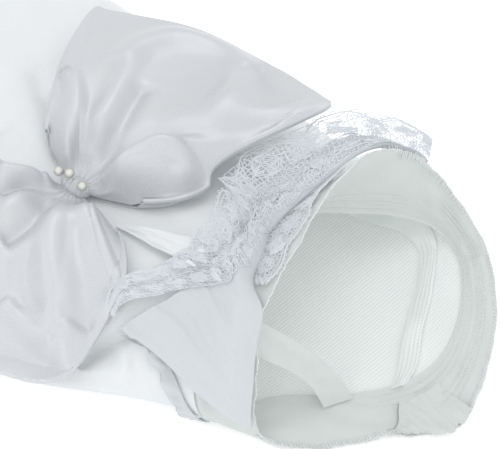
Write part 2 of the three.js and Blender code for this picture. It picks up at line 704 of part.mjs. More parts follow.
const glove = new THREE.Group();
glove.add(gloveBody(), mouthBand(), thumbStrap(), flounce());
glove.add(laceEdging(), laceFold(), laceMouth());
glove.add(bowWing("bow_wing_right", RIGHT_WING, RIGHT_FOLDS));
glove.add(bowWing("bow_wing_left", LEFT_WING, LEFT_FOLDS));
glove.add(bowTail(), bowKnot(), ...pearls());

// The middle of the footprint stands over the origin, and the glove rests on zero height
const whole = new THREE.Box3().setFromObject(glove);
const foot = new THREE.Vector3(...whole.getCenter(new THREE.Vector3()).toArray().slice(0, 2), whole.min.z);
for (const piece of glove.children) {
  piece.position.sub(foot);
}

export default glove;
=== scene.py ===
"""Looks of a fingerless bridal glove: satin tube, sheer frill with floral net lace, satin bow and pearls.

Everything is made in millimetres with the bow's knot at x = 0, as the part's source is, and moved onto
the frame at the end. No cloth is simulated: each piece is a dense mesh whose folds are drawn from short
lists.
"""
import sys

import json
import logging
import math
from dataclasses import dataclass, field
from enum import Enum
from typing import Callable, Sequence

import bpy
import numpy as np
from mathutils import Matrix, Vector


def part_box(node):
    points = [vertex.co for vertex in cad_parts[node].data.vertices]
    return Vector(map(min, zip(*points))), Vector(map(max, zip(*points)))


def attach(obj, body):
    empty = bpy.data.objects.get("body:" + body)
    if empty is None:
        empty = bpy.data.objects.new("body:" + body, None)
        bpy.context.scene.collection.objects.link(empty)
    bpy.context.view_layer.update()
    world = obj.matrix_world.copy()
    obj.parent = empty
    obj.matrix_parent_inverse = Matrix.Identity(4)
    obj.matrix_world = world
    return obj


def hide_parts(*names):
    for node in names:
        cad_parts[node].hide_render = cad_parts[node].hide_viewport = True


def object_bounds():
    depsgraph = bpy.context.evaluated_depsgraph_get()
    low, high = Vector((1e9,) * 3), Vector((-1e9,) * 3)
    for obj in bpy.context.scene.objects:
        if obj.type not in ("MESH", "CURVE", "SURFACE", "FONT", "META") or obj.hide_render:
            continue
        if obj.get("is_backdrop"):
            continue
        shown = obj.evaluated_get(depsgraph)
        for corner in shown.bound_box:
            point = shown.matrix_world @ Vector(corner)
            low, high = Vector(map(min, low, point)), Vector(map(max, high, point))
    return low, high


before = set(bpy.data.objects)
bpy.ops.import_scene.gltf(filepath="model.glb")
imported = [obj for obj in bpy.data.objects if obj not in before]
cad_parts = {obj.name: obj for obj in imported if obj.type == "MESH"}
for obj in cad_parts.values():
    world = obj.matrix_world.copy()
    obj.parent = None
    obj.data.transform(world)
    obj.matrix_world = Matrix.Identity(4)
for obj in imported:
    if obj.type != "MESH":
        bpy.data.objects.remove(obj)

LOG = logging.getLogger("glove")
Array = np.ndarray
MM = 0.001


def smooth(low: float, high: float, value: Array) -> Array:
    """Smooth step from 0 at low to 1 at high."""
    share = np.clip((value - low) / (high - low), 0.0, 1.0)
    return share * share * (3.0 - 2.0 * share)


def bump(offset: Array, width: float) -> Array:
    """Rounded bump of height 1 at no offset."""
    return np.exp(-((offset / width) ** 2))


def mix(start: Array, stop: Array, share: Array) -> Array:
    """Straight mix of two values."""
    return start + (stop - start) * share


def unit(vectors: Array) -> Array:
    """The same vectors, each of length 1."""
    return vectors / np.maximum(np.linalg.norm(vectors, axis=-1, keepdims=True), 1e-9)


class Table:
    """A short table whose columns are read smoothly by one key column."""

    def __init__(self, columns: str, rows: Sequence[Sequence[float]], period: float = 0.0) -> None:
        """Keeps the rows with what stands before the first and after the last.

        Args:
            columns: names of the columns, the key first.
            rows: one row for each key.
            period: span after which the keys start again, or zero for a table with two ends.
        """
        held = np.array(rows, float)
        before, after = held[:1].copy(), held[-1:].copy()
        if period:
            before, after = held[-2:].copy(), held[:3].copy()
            before[:, 0] -= period
            after[:, 0] += period
        self.names = columns.split()
        self.rows = np.concatenate([before, held, after])
        self.period = period
        self.ends = (held[0, 0], held[-1, 0])

    def read(self, column: str, at: Array) -> Array:
        """Smooth value of a column.

        Args:
            column: name of the column.
            at: keys to read at.

        Returns:
            The values, one for each key.
        """
        wanted = np.mod(at, self.period) if self.period else np.clip(at, *self.ends)
        keys, values = self.rows[:, 0], self.rows[:, self.names.index(column)]
        index = np.clip(np.searchsorted(keys, wanted, side="right") - 1, 1, len(keys) - 3)
        k0, k1, k2, k3 = (keys[index + step] for step in (-1, 0, 1, 2))
        v0, v1, v2, v3 = (values[index + step] for step in (-1, 0, 1, 2))
        span = k2 - k1
        share = (wanted - k1) / span
        slope_in = (v2 - v0) / np.maximum(k2 - k0, span) * span
        slope_out = (v3 - v1) / np.maximum(k3 - k1, span) * span
        square, cube = share**2, share**3
        start = (2 * cube - 3 * square + 1) * v1 + (cube - 2 * square + share) * slope_in
        return start + (3 * square - 2 * cube) * v2 + (cube - square) * slope_out


class Shell:
    """The glove's own surfaces, as the part's source has them, in millimetres from the bow's knot."""

    ARM_REACH, ARM_WIDTH, ARM_HEIGHT = 110.0, 104.0, 25.0
    BODY_WIDTH, BODY_HEIGHT, WIDEST_SHARE = 113.0, 20.0, 0.34
    MOUTH_REACH, MOUTH_SLANT, MOUTH_WIDTH = 56.0, 55.0, 81.0
    MOUTH_RISE, MOUTH_SHIFT, BAND_DEPTH = 36.0, 12.0, 18.0
    FRILL_DEPTH, FRILL_LIFT, FRILL_ROLL, ROLL_SHARE = 22.0, 2.2, 4.0, 0.18
    LACE_WIDTH, LACE_TURN, LACE_BACK, SEAM_GAP = 9.0, 8.0, 0.82, 0.75
    LAY_GAP, FREE_GAP = 0.4, 1.2
    NORMAL_REACH = 4.0

    SECTIONS = Table("along arm width height shift mouth", (
        (0.0, 1.0, 1.0, 1.0, 0.1, 0.0),
        (0.14, 0.6, 0.99, 1.04, 0.15, 0.0),
        (0.34, 0.0, 1.0, 1.0, 0.2, 0.0),
        (0.6, 0.0, 1.0, 1.0, 0.1, 0.0),
        (0.76, 0.0, 0.99, 1.03, 0.15, 0.1),
        (0.88, 0.0, 0.95, 1.1, 0.4, 0.5),
        (1.0, 0.0, 0.9, 1.2, 1.0, 1.0),
    ))
    MOUTH = Table("turn reach across rise back inward down", (
        (0, 0.62, 0.9, 0.29, -0.25, -0.28, -0.19),
        (25, 0.39, 1.0, 0.5, -0.11, -0.28, -0.45),
        (50, 0.18, 0.98, 0.74, 0.05, -0.45, -0.76),
        (75, 0.045, 0.77, 0.92, -0.03, -0.45, -0.94),
        (100, 0.02, 0.36, 1.0, -0.42, -0.42, -0.64),
        (125, 0.105, -0.23, 0.98, -0.83, -0.25, -0.47),
        (150, 0.165, -0.64, 0.86, -0.83, -0.17, -0.36),
        (178, 0.26, -0.87, 0.5, -0.78, -0.38, -0.3),
        (203, 0.35, -0.99, 0.08, -0.72, -0.22, -0.03),
        (228, 0.57, -0.82, 0.0, -0.9, 0.28, 0.0),
        (255, 0.79, -0.48, 0.0, -0.86, 0.11, 0.0),
        (285, 0.99, -0.2, 0.0, -0.93, 0.12, 0.0),
        (312, 0.985, 0.1, 0.02, -0.72, 0.1, 0.0),
        (338, 0.84, 0.58, 0.15, -0.42, -0.28, -0.03),
    ), 360.0)
    CREASES = (
        (0.2, 62, 60, 1.6, 0.16, 13),
        (0.36, 100, -90, 1.4, 0.12, 14),
        (0.3, 138, 80, 1.4, 0.15, 12),
        (0.86, 166, -150, 1.7, 0.08, 10),
    )
    FRILL = Table("along base band edge back roll free climb aim lace", tuple(
        (index / 11, *row) for index, row in enumerate((
            (197, 0.97, 163.5, 0.6, 0.1, 0, 0, 180, 0.5),
            (186, 0.98, 157.5, 0.38, 0.35, 0, 0, 180, 0.7),
            (173, 1.0, 150, 0.2, 0.7, 0, 0, 180, 0.9),
            (161, 1.04, 142, 0.07, 1, 0, 0, 180, 1),
            (150, 1.04, 134, 0.0, 1, 0, 0, 180, 1),
            (139, 0.68, 123, 0.0, 1, 0, 0, 180, 1),
            (127, 0.58, 112, 0.12, 0.8, 0, 0, 180, 1),
            (117, 0.42, 106, 0.34, 0.6, 0.15, 0, 180, 1),
            (106, 0.5, 98, 0.5, 0.4, 0.7, -6, 166, 0.9),
            (93, 0.88, 88, 0.4, 0.3, 1, -8, 150, 0.9),
            (68, 0.95, 66, 0.08, 0.2, 1, 16, 140, 0.72),
            (46, 0.95, 45, 0.03, 0.1, 1, 25, 117, 0.62),
        ))
    ))

    @classmethod
    def rim(cls, turn: Array) -> Array:
        """Places of the band's rim at turns in degrees: 0 far side, 90 top, 180 near side, 270 palm."""
        def read(column: str) -> Array:
            return cls.MOUTH.read(column, turn)
        return np.stack([
            cls.MOUTH_REACH + cls.MOUTH_SLANT * read("reach"),
            cls.MOUTH_SHIFT + 0.5 * cls.MOUTH_WIDTH * read("across"),
            np.maximum(0.0, cls.MOUTH_RISE * read("rise")),
        ], -1)

    @classmethod
    def seam(cls, turn: Array) -> Array:
        """Places of the seam between the tube and the band."""
        way = [cls.BAND_DEPTH * cls.MOUTH.read(column, turn) for column in ("back", "inward", "down")]
        place = cls.rim(turn) + np.stack(way, -1)
        place[..., 2] = np.maximum(0.0, place[..., 2])
        return place

    @classmethod
    def tube(cls, turn: Array, along: Array) -> Array:
        """Outside of the tube.

        Args:
            turn: degrees round it.
            along: shares of the way from the arm opening to the seam.

        Returns:
            The places, with x, y, z last.
        """
        def read(column: str) -> Array:
            return cls.SECTIONS.read(column, along)
        half = 0.5 * mix(cls.BODY_WIDTH * read("width"), cls.ARM_WIDTH, read("arm"))
        height = mix(cls.BODY_HEIGHT * read("height"), cls.ARM_HEIGHT, read("arm"))
        side, up = np.cos(np.radians(turn)), np.sin(np.radians(turn))
        widest = cls.WIDEST_SHARE * height
        low = widest * np.maximum(0.0, 1.0 + 2.0 * up) ** 2
        side_z = np.where(up >= 0, widest + (height - widest) * up, low)
        seam, mouth = cls.seam(turn), read("mouth")
        z = mix(side_z, seam[..., 2], mouth)
        for at, middle, slope, deep, long, wide in cls.CREASES:
            climbed = middle + slope * (along - at)
            z = z - deep * bump(along - at, long) * bump(turn - climbed, wide)
        return np.stack([
            mix(-cls.ARM_REACH, seam[..., 0], along),
            mix(cls.MOUTH_SHIFT * read("shift") + half * side, seam[..., 1], mouth),
            z,
        ], -1)

    @classmethod
    def band(cls, turn: Array, share: Array) -> Array:
        """Outside of the band at shares of the way from the seam to the rim."""
        return mix(cls.seam(turn), cls.rim(turn), np.asarray(share)[..., None])

    @classmethod
    def band_length(cls, turn: Array) -> Array:
        """Width of the band, from the seam to the rim."""
        return np.linalg.norm(cls.rim(turn) - cls.seam(turn), axis=-1)

    @classmethod
    def skin(cls, turn: Array, run: Array) -> Array:
        """Outside of the glove: run is millimetres out over the band, or back over the tube below zero."""
        turn, run = np.broadcast_arrays(np.asarray(turn, float), np.asarray(run, float))
        over = cls.band(turn, run / cls.band_length(turn))
        back = cls.tube(turn, np.minimum(1.0, 1.0 + run / (cls.seam(turn)[..., 0] + cls.ARM_REACH)))
        return np.where((run > 0)[..., None], over, back)

    @classmethod
    def lifted(cls, turn: Array, run: Array, lift: Array) -> Array:
        """Places at a height over the skin, along a normal that passes smoothly over the seam."""
        reach = cls.NORMAL_REACH
        around = cls.skin(turn + reach, run) - cls.skin(turn - reach, run)
        along = cls.skin(turn, run + reach) - cls.skin(turn, run - reach)
        return cls.skin(turn, run) + unit(np.cross(around, along)) * np.asarray(lift)[..., None]

    @classmethod
    def top(cls, x: Array, y: Array) -> Array:
        """Height of the top of the tube over places in plan."""
        x, y = np.broadcast_arrays(np.asarray(x, float), np.asarray(y, float))
        near, far = np.full(x.shape, 176.0), np.full(x.shape, 4.0)

        def at(turn: Array) -> Array:
            return cls.tube(turn, np.clip((x + cls.ARM_REACH) / (cls.seam(turn)[..., 0] + cls.ARM_REACH),
                                          0, 1))
        for _ in range(22):
            middle = 0.5 * (near + far)
            wide = at(middle)[..., 1] > y
            far, near = np.where(wide, middle, far), np.where(wide, near, middle)
        return at(near)[..., 2]

    @classmethod
    def frill(cls, along: Array, share: Array, beyond: Array, lift: Array) -> Array:
        """The turned-back frill and the lace past its free edge.

        Args:
            along: shares along the frill, from the near side over the top to the far side.
            share: shares from its sewn edge to its free edge.
            beyond: shares of the lace's width past that edge.
            lift: millimetres over its underside.

        Returns:
            The places, with x, y, z last.
        """
        along, share, beyond, lift = np.broadcast_arrays(*(np.asarray(v, float)
                for v in (along, share, beyond, lift)))

        def read(column: str) -> Array:
            return cls.FRILL.read(column, along)
        turn = mix(read("base"), read("edge"), share)
        start = read("band") * cls.band_length(read("base"))
        depth = cls.FRILL_DEPTH * read("back")
        sewn = cls.SEAM_GAP * smooth(0, 0.08, beyond)
        lace = np.where(beyond > 0, sewn + cls.LACE_WIDTH * read("lace") * beyond, 0.0)
        rolled = (share / cls.ROLL_SHARE) * np.exp(1 - share / cls.ROLL_SHARE)
        lying = mix(cls.LAY_GAP, cls.FRILL_LIFT, smooth(0, cls.ROLL_SHARE, share))
        rise = cls.FRILL_ROLL * read("roll") * rolled + lift
        run = mix(start, -depth, share) - cls.LACE_BACK * lace
        laid = cls.lifted(turn - cls.LACE_TURN * beyond, run, lying + rise)
        climb, aim = np.radians(read("climb")), np.radians(read("aim"))
        length = depth * share + lace
        out = length * np.cos(climb) - rise * np.sin(climb)
        way = np.stack([out * np.cos(aim), out * np.sin(aim),
                        length * np.sin(climb) + rise * np.cos(climb)], -1)
        loose = cls.lifted(turn, start, np.full(turn.shape, cls.FREE_GAP)) + way
        return mix(laid, loose, np.clip(read("free"), 0, 1)[..., None])


class Wing:
    """Plan and heights of one loop of the bow, as the part's source has them."""

    REACH, PUFF, RISE, SIDE_PUFF = 68.0, 8.0, 36.0, 0.45
    KNOT_Y, KNOT_LENGTH, KNOT_WIDTH, KNOT_HEIGHT = -8.0, 11.0, 6.5, 6.0
    WALL, LAY_GAP, COVER = 1.2, 0.4, 5.0

    RIGHT = Table("angle reach rise cover", (
        (19, 0.275, 0.61, 0.1), (24, 0.4, 0.65, 0.2), (29, 0.465, 0.68, 0.3), (33, 0.5, 0.7, 0.4),
        (37, 0.503, 0.74, 0.6), (40, 0.517, 0.78, 0.7), (43.25, 0.565, 0.82, 0.9),
        (45.5, 0.625, 0.85, 1), (48.25, 0.745, 0.9, 1), (50.75, 0.865, 0.92, 1), (53.2, 0.99, 0.93, 1),
        (55.5, 0.98, 0.925, 1), (63, 0.935, 0.88, 0.8), (79, 0.88, 0.79, 0.2), (99, 0.86, 0.75, 0.1),
        (113, 0.845, 0.74, 0.1), (122.5, 0.868, 0.715, 0.1), (125.5, 0.885, 0.71, 0.1),
        (127.5, 0.84, 0.71, 0.1), (133, 0.68, 0.71, 0.1), (142, 0.45, 0.7, 0.1), (154, 0.28, 0.68, 0.1),
    ))
    LEFT = Table("angle reach rise cover", (
        (195, 0.32, 0.63, 0.1), (205, 0.45, 0.63, 0.1), (215, 0.57, 0.6, 0.1), (225, 0.77, 0.52, 0.1),
        (233, 0.97, 0.42, 0.1), (245, 0.9, 0.33, 0.1), (260, 0.84, 0.27, 0.1), (275, 0.79, 0.23, 0.1),
        (288, 0.76, 0.21, 0.1), (303, 0.768, 0.23, 0.1), (309, 0.73, 0.33, 0.1), (319, 0.62, 0.49, 0.1),
        (325, 0.56, 0.55, 0.1), (332, 0.5, 0.6, 0.1), (337, 0.42, 0.65, 0.1), (344, 0.3, 0.65, 0.1),
    ))

    def __init__(self, rows: Table) -> None:
        """Takes the table of rays of one loop."""
        self.rows = rows
        self.rest = float(Shell.top(np.array(0.0), np.array(self.KNOT_Y))) + self.LAY_GAP

    def place(self, angle: Array, share: Array) -> tuple[Array, Array, Array, Array]:
        """Plan and heights of the loop's two layers, without its folds.

        Args:
            angle: degrees of the ray from the knot.
            share: shares of the way out to the outer fold.

        Returns:
            x, y, the lower layer's height and the upper layer's height.
        """
        flat = np.radians(angle)
        inner = 1 / np.hypot(np.cos(flat) / (0.5 * self.KNOT_LENGTH), np.sin(flat) / (0.5 * self.KNOT_WIDTH))
        radius = mix(inner + self.LAY_GAP, self.REACH * self.rows.read("reach", angle), share)
        x, y = radius * np.cos(flat), self.KNOT_Y + radius * np.sin(flat)
        fold_z = self.RISE * self.rows.read("rise", angle)
        half = self.WALL + 0.5 * self.LAY_GAP
        first, last = self.rows.ends
        sides = (angle - first) / (last - first)
        closing = mix(self.SIDE_PUFF, 1.0, smooth(0, 0.15, sides) * smooth(0, 0.15, 1 - sides))
        out = np.clip(share, 0.0, 1.0)
        puff = self.PUFF * closing * np.sin(np.pi * out**0.7) * smooth(0, 0.25, out)
        cover = self.LAY_GAP + self.COVER * self.rows.read("cover", angle) * out
        lower = np.maximum(Shell.top(x, y) + cover, mix(self.rest, fold_z - half, share))
        upper = np.maximum(lower + 2 * half, mix(self.rest + 2 * half, fold_z + half, share) + puff)
        return x, y, lower, upper


def shift_to_frame() -> Array:
    """Millimetres from the knot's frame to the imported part's, read off the knot's own box."""
    low, high = (np.array(corner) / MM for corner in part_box("bow_knot"))
    middle = 0.5 * (low + high)
    return np.array([middle[0], middle[1] - Wing.KNOT_Y, 0.0])


def grid_normals(points: Array, loop: bool) -> Array:
    """Unit normals of a grid of points, rows round the glove and columns along it.

    Args:
        points: grid of places.
        loop: whether the last row joins the first.

    Returns:
        One normal for each place.
    """
    if loop:
        around = np.roll(points, -1, axis=0) - np.roll(points, 1, axis=0)
    else:
        around = np.gradient(points, axis=0)
    return unit(np.cross(around, np.gradient(points, axis=1)))


def ripples(u: Array, v: Array, seed: int, length: float, height: float, waves: int = 9) -> Array:
    """Soft uneven waves over two coordinates in millimetres.

    Args:
        u: first coordinate.
        v: second coordinate.
        seed: number that fixes the waves.
        length: mean length of a wave.
        height: height of the whole.
        waves: number of waves that are added up.

    Returns:
        Heights, about zero on average.
    """
    draw = np.random.default_rng(seed)
    total = np.zeros(np.broadcast(u, v).shape)
    for _ in range(waves):
        way, phase = draw.uniform(0, 2 * np.pi, 2)
        pace = 2 * np.pi / (length * draw.uniform(0.6, 1.7))
        bend = 0.8 * np.sin(pace * 0.45 * (u * np.sin(way) - v * np.cos(way)) + 2 * phase)
        total += np.sin(pace * (u * np.cos(way) + v * np.sin(way)) + phase + bend)
    return height * total / np.sqrt(waves)


def path_points(path: Sequence[Sequence[float]], count: int) -> Array:
    """A short list of places drawn as one smooth line of many."""
    axes = "x y z".split()[: len(path[0])]
    table = Table("key " + " ".join(axes), [(index, *place) for index, place in enumerate(path)])
    at = np.linspace(0, len(path) - 1, count)
    return np.stack([table.read(axis, at) for axis in axes], -1)


def offset_from(line: Array, x: Array, y: Array, closed: bool = False) -> tuple[Array, Array]:
    """Distance of places from a line in plan, and the share of the line where they are nearest.

    Args:
        line: places of the line.
        x: first coordinate of the places.
        y: second coordinate of the places.
        closed: whether the line's end joins its start.

    Returns:
        Signed distance, positive to the left of the line, and share along it.
    """
    start = line if closed else line[:-1]
    stop = np.roll(line, -1, axis=0) if closed else line[1:]
    place = np.stack([x, y], -1)
    best = np.full(x.shape, np.inf)
    side, share = np.ones(x.shape), np.zeros(x.shape)
    for index, (a, b) in enumerate(zip(start, stop)):
        run = b - a
        at = np.clip(((place - a) @ run) / max(run @ run, 1e-9), 0, 1)
        gap = place - (a + at[..., None] * run)
        far = np.hypot(gap[..., 0], gap[..., 1])
        near = far < best
        best = np.where(near, far, best)
        side = np.where(near, np.sign(run[0] * gap[..., 1] - run[1] * gap[..., 0]), side)
        share = np.where(near, (index + at) / len(start), share)
    return best * side, share


def stitches(start: float, stop: float, count: int, ends: tuple[float, float] = (0.1, 0.8)) -> Array:
    """Keys of the places of evenly spaced stitches, four for each.

    Args:
        start: key where the row starts.
        stop: key where it stops.
        count: number of stitches.
        ends: shares of its pitch where a stitch starts and ends.

    Returns:
        Stitches by places.
    """
    return mix(start, stop, (np.arange(count)[:, None] + np.linspace(*ends, 4)) / count)


@dataclass(frozen=True)
class Fold:
    """A fold drawn in plan: a ridge, or a valley where high is below zero; lean widens its left side."""

    path: tuple[tuple[float, float], ...]
    high: float
    wide: float
    lean: float = 0.0
    fade: float = 0.12

    def height(self, x: Array, y: Array) -> Array:
        """Millimetres that the fold adds at places in plan."""
        offset, share = offset_from(path_points(self.path, 40), x, y)
        wide = self.wide * (1 + self.lean * np.tanh(offset / self.wide))
        ends = smooth(-0.02, self.fade, share) * smooth(-0.02, self.fade, 1 - share)
        return self.high * np.exp(-((offset / wide) ** 2)) * ends


@dataclass(frozen=True)
class Pillow:
    """A puffed place in plan with a steep rim, or a hollow where high is below zero."""

    outline: tuple[tuple[float, float], ...]
    high: float
    rim: float

    def height(self, x: Array, y: Array) -> Array:
        """Millimetres that the pillow adds at places in plan."""
        line = path_points(self.outline + self.outline[:1], 60)[:-1]
        offset, _ = offset_from(line, x, y, closed=True)
        inside = np.zeros(x.shape, bool)
        for a, b in zip(line, np.roll(line, -1, axis=0)):
            spans = (a[1] > y) != (b[1] > y)
            crossing = a[0] + (b[0] - a[0]) * (y - a[1]) / np.where(spans, b[1] - a[1], 1.0)
            inside ^= spans & (x < crossing)
        return np.where(inside, self.high * (1 - np.exp(-np.abs(offset) / self.rim)), 0.0)


class MeshMaker:
    """Collects grids of quads with their cloth coordinates and finishes, and makes one object of them."""

    UV_NAME = "cloth_mm"
    SHARP = math.radians(62)

    def __init__(self, name: str) -> None:
        """Starts an empty mesh under a piece's name."""
        self.name = name
        self.points: list[Array] = []
        self.quads: list[Array] = []
        self.coords: list[Array] = []
        self.slots: list[Array] = []
        self.count = 0

    def grid(self, points: Array, uv: Array, slot: int = 0, loop: bool = False, flip: bool = False) -> Array:
        """Adds a grid of quads.

        Args:
            points: places, rows by columns by three.
            uv: cloth coordinates in millimetres, with one row more than the places where the grid loops.
            slot: number of the finish.
            loop: whether the last row joins the first.
            flip: whether the faces look the other way.

        Returns:
            The numbers of the grid's places.
        """
        rows, columns = points.shape[:2]
        numbers = self.count + np.arange(rows * columns).reshape(rows, columns)
        self.points.append(points.reshape(-1, 3))
        self.count += rows * columns
        wrapped = np.concatenate([numbers, numbers[:1]]) if loop else numbers
        self.patch(wrapped, uv, slot, flip)
        return numbers

    def patch(self, numbers: Array, uv: Array, slot: int = 0, flip: bool = False) -> None:
        """Adds quads between places that are there already."""
        def corners(values: Array) -> Array:
            around = (values[:-1, :-1], values[1:, :-1], values[1:, 1:], values[:-1, 1:])
            return np.stack(around[::-1] if flip else around, 2)
        quads, coords = corners(numbers), corners(uv)
        self.quads.append(quads.reshape(-1, 4))
        self.coords.append(coords.reshape(-1, 2))
        self.slots.append(np.full(quads.shape[0] * quads.shape[1], slot, np.int32))

    def close_ends(self, numbers: Array) -> None:
        """Closes both ends of a looped grid, whose rows are even in number."""
        half = len(numbers) // 2
        for column, flip in ((0, True), (-1, False)):
            ring = np.concatenate([numbers[:, column], numbers[:1, column]])
            halves = np.stack([ring[: half + 1], ring[half:][::-1]], 1)
            self.patch(halves, np.zeros((*halves.shape, 2)), flip=flip)

    def layers(
            self, outer: Array, inner: Array, uv: Array, slots: tuple[int, int] = (0, 0), loop: bool = False,
    ) -> None:
        """Adds a cloth with two faces and the narrow edges that join them.

        Args:
            outer: places of the face that looks out.
            inner: places of the face that looks in.
            uv: cloth coordinates of both.
            slots: numbers of the outer and inner finish.
            loop: whether the last row joins the first.
        """
        top = self.grid(outer, uv, slots[0], loop)
        low = self.grid(inner, uv, slots[1], loop, flip=True)
        if loop:
            top, low = (np.concatenate([numbers, numbers[:1]]) for numbers in (top, low))
        edges = [(top[:, 0], low[:, 0], uv[:, 0], False), (top[:, -1], low[:, -1], uv[:, -1], True)]
        if not loop:
            edges += [(top[0], low[0], uv[0], True), (top[-1], low[-1], uv[-1], False)]
        for upper, lower, coords, flip in edges:
            self.patch(np.stack([upper, lower], 1), np.stack([coords, coords], 1), slots[0], flip)

    def make(self, finishes: Sequence[bpy.types.Material], shift: Array) -> bpy.types.Object:
        """Makes the object and links it into the scene.

        Args:
            finishes: materials, in the order of the slot numbers.
            shift: millimetres from the knot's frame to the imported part's.

        Returns:
            The new object, in metres.
        """
        places = (np.concatenate(self.points) + shift) * MM
        quads, coords = np.concatenate(self.quads), np.concatenate(self.coords)
        mesh = bpy.data.meshes.new(self.name)
        mesh.vertices.add(len(places))
        mesh.vertices.foreach_set("co", places.astype(np.float32).ravel())
        mesh.loops.add(quads.size)
        mesh.loops.foreach_set("vertex_index", quads.astype(np.int32).ravel())
        mesh.polygons.add(len(quads))
        mesh.polygons.foreach_set("loop_start", np.arange(0, quads.size, 4, dtype=np.int32))
        mesh.polygons.foreach_set("material_index", np.concatenate(self.slots))
        mesh.uv_layers.new(name=self.UV_NAME).data.foreach_set("uv", coords.astype(np.float32).ravel())
        for finish in finishes:
            mesh.materials.append(finish)
        mesh.update(calc_edges=True)
        mesh.validate()
        mesh.shade_smooth()
        mesh.set_sharp_from_angle(angle=self.SHARP)
        piece = bpy.data.objects.new(self.name, mesh)
        bpy.context.collection.objects.link(piece)
        return piece


class Threads:
    """Round threads along lines, each a tube of four or more sides with closed ends."""

    def __init__(self, name: str, sides: int = 4) -> None:
        """Starts with no thread, under a piece's name."""
        self.maker = MeshMaker(name)
        self.sides = sides

    @staticmethod
    def corners(values: Array) -> list[Array]:
        """Values at the four corners of each quad of each thread."""
        return [values[:, :-1, :-1], values[:, 1:, :-1], values[:, 1:, 1:], values[:, :-1, 1:]]

    def lay(self, lines: Array, radius: float | Array) -> None:
        """Adds threads.

        Args:
            lines: threads by places by three, in millimetres.
            radius: half thickness, one for all or one for each thread.
        """
        along = unit(np.gradient(lines, axis=1))
        middle = unit(lines.mean(axis=1, keepdims=True) - lines[:, :1] + 1e-6)
        upright = np.abs(along[..., 2:3]) >= 0.9
        guide = np.where(upright, np.array([1.0, 0.0, 0.0]), np.array([0.0, 0.0, 1.0])) + 0 * middle
        across = unit(np.cross(along, guide))
        above = np.cross(across, along)
        wide = np.broadcast_to(np.asarray(radius, float).reshape(-1, 1, 1, 1), (len(lines), 1, 1, 1))
        thin = np.ones(lines.shape[1])
        thin[[0, -1]] = 0.35
        turns = 2 * np.pi * np.arange(self.sides) / self.sides
        ring = across[..., None, :] * np.cos(turns)[:, None] + above[..., None, :] * np.sin(turns)[:, None]
        tubes = lines[..., None, :] + ring * wide * thin[None, :, None, None]
        numbers = self.maker.count + np.arange(tubes[..., 0].size).reshape(tubes.shape[:3])
        self.maker.points.append(tubes.reshape(-1, 3))
        self.maker.count += numbers.size
        numbers = np.concatenate([numbers, numbers[..., :1]], -1)
        quads = np.stack(self.corners(numbers), -1)
        steps = np.linalg.norm(np.diff(lines, axis=1), axis=-1)
        run = np.concatenate([np.zeros((len(lines), 1)), np.cumsum(steps, 1)], 1)
        u = np.broadcast_to(run[..., None], numbers.shape)
        v = np.broadcast_to(np.arange(self.sides + 1) * 0.2, numbers.shape)
        flat = np.stack([u, v], -1)
        coords = np.stack(self.corners(flat), -2)
        self.maker.quads.append(quads.reshape(-1, 4))
        self.maker.coords.append(coords.reshape(-1, 2))
        self.maker.slots.append(np.zeros(quads.size // 4, np.int32))
        if self.sides == 4:
            for end, order in ((0, (3, 2, 1, 0)), (-1, (0, 1, 2, 3))):
                self.maker.quads.append(numbers[:, end][:, order])
                self.maker.coords.append(flat[:, end][:, order].reshape(-1, 2))
                self.maker.slots.append(np.zeros(len(lines), np.int32))

    def make(self, finish: bpy.types.Material, shift: Array) -> bpy.types.Object:
        """Makes the threads as one object."""
        return self.maker.make([finish], shift)


def linear(code: str) -> tuple[float, float, float, float]:
    """Linear colour of an sRGB hex code such as #F2F3F5."""
    parts = [int(code[place:place + 2], 16) / 255 for place in (1, 3, 5)]
    return (*(part / 12.92 if part <= 0.04045 else ((part + 0.055) / 1.055) ** 2.4 for part in parts), 1.0)


def add_node(
        tree: bpy.types.NodeTree, kind: str, inputs: dict | None = None, **settings: object,
) -> bpy.types.Node:
    """Adds a shader node with its settings and what goes into its sockets.

    Args:
        tree: the material's nodes.
        kind: the node's type.
        inputs: value or socket for each input, by name or number.
        settings: properties of the node.

    Returns:
        The new node.
    """
    node = tree.nodes.new(kind)
    for name, value in settings.items():
        setattr(node, name, value)
    for name, value in (inputs or {}).items():
        if isinstance(value, bpy.types.NodeSocket):
            tree.links.new(value, node.inputs[name])
        else:
            node.inputs[name].default_value = value
    return node


class Weave(Enum):
    """How a cloth is made, which sets the pattern of its relief."""

    SATIN = "long floats with fine cross ribs"
    TWILL = "diagonal ribs"
    PLAIN = "plain open weave"
    YARN = "twisted thread"
    NET = "hexagonal tulle net"


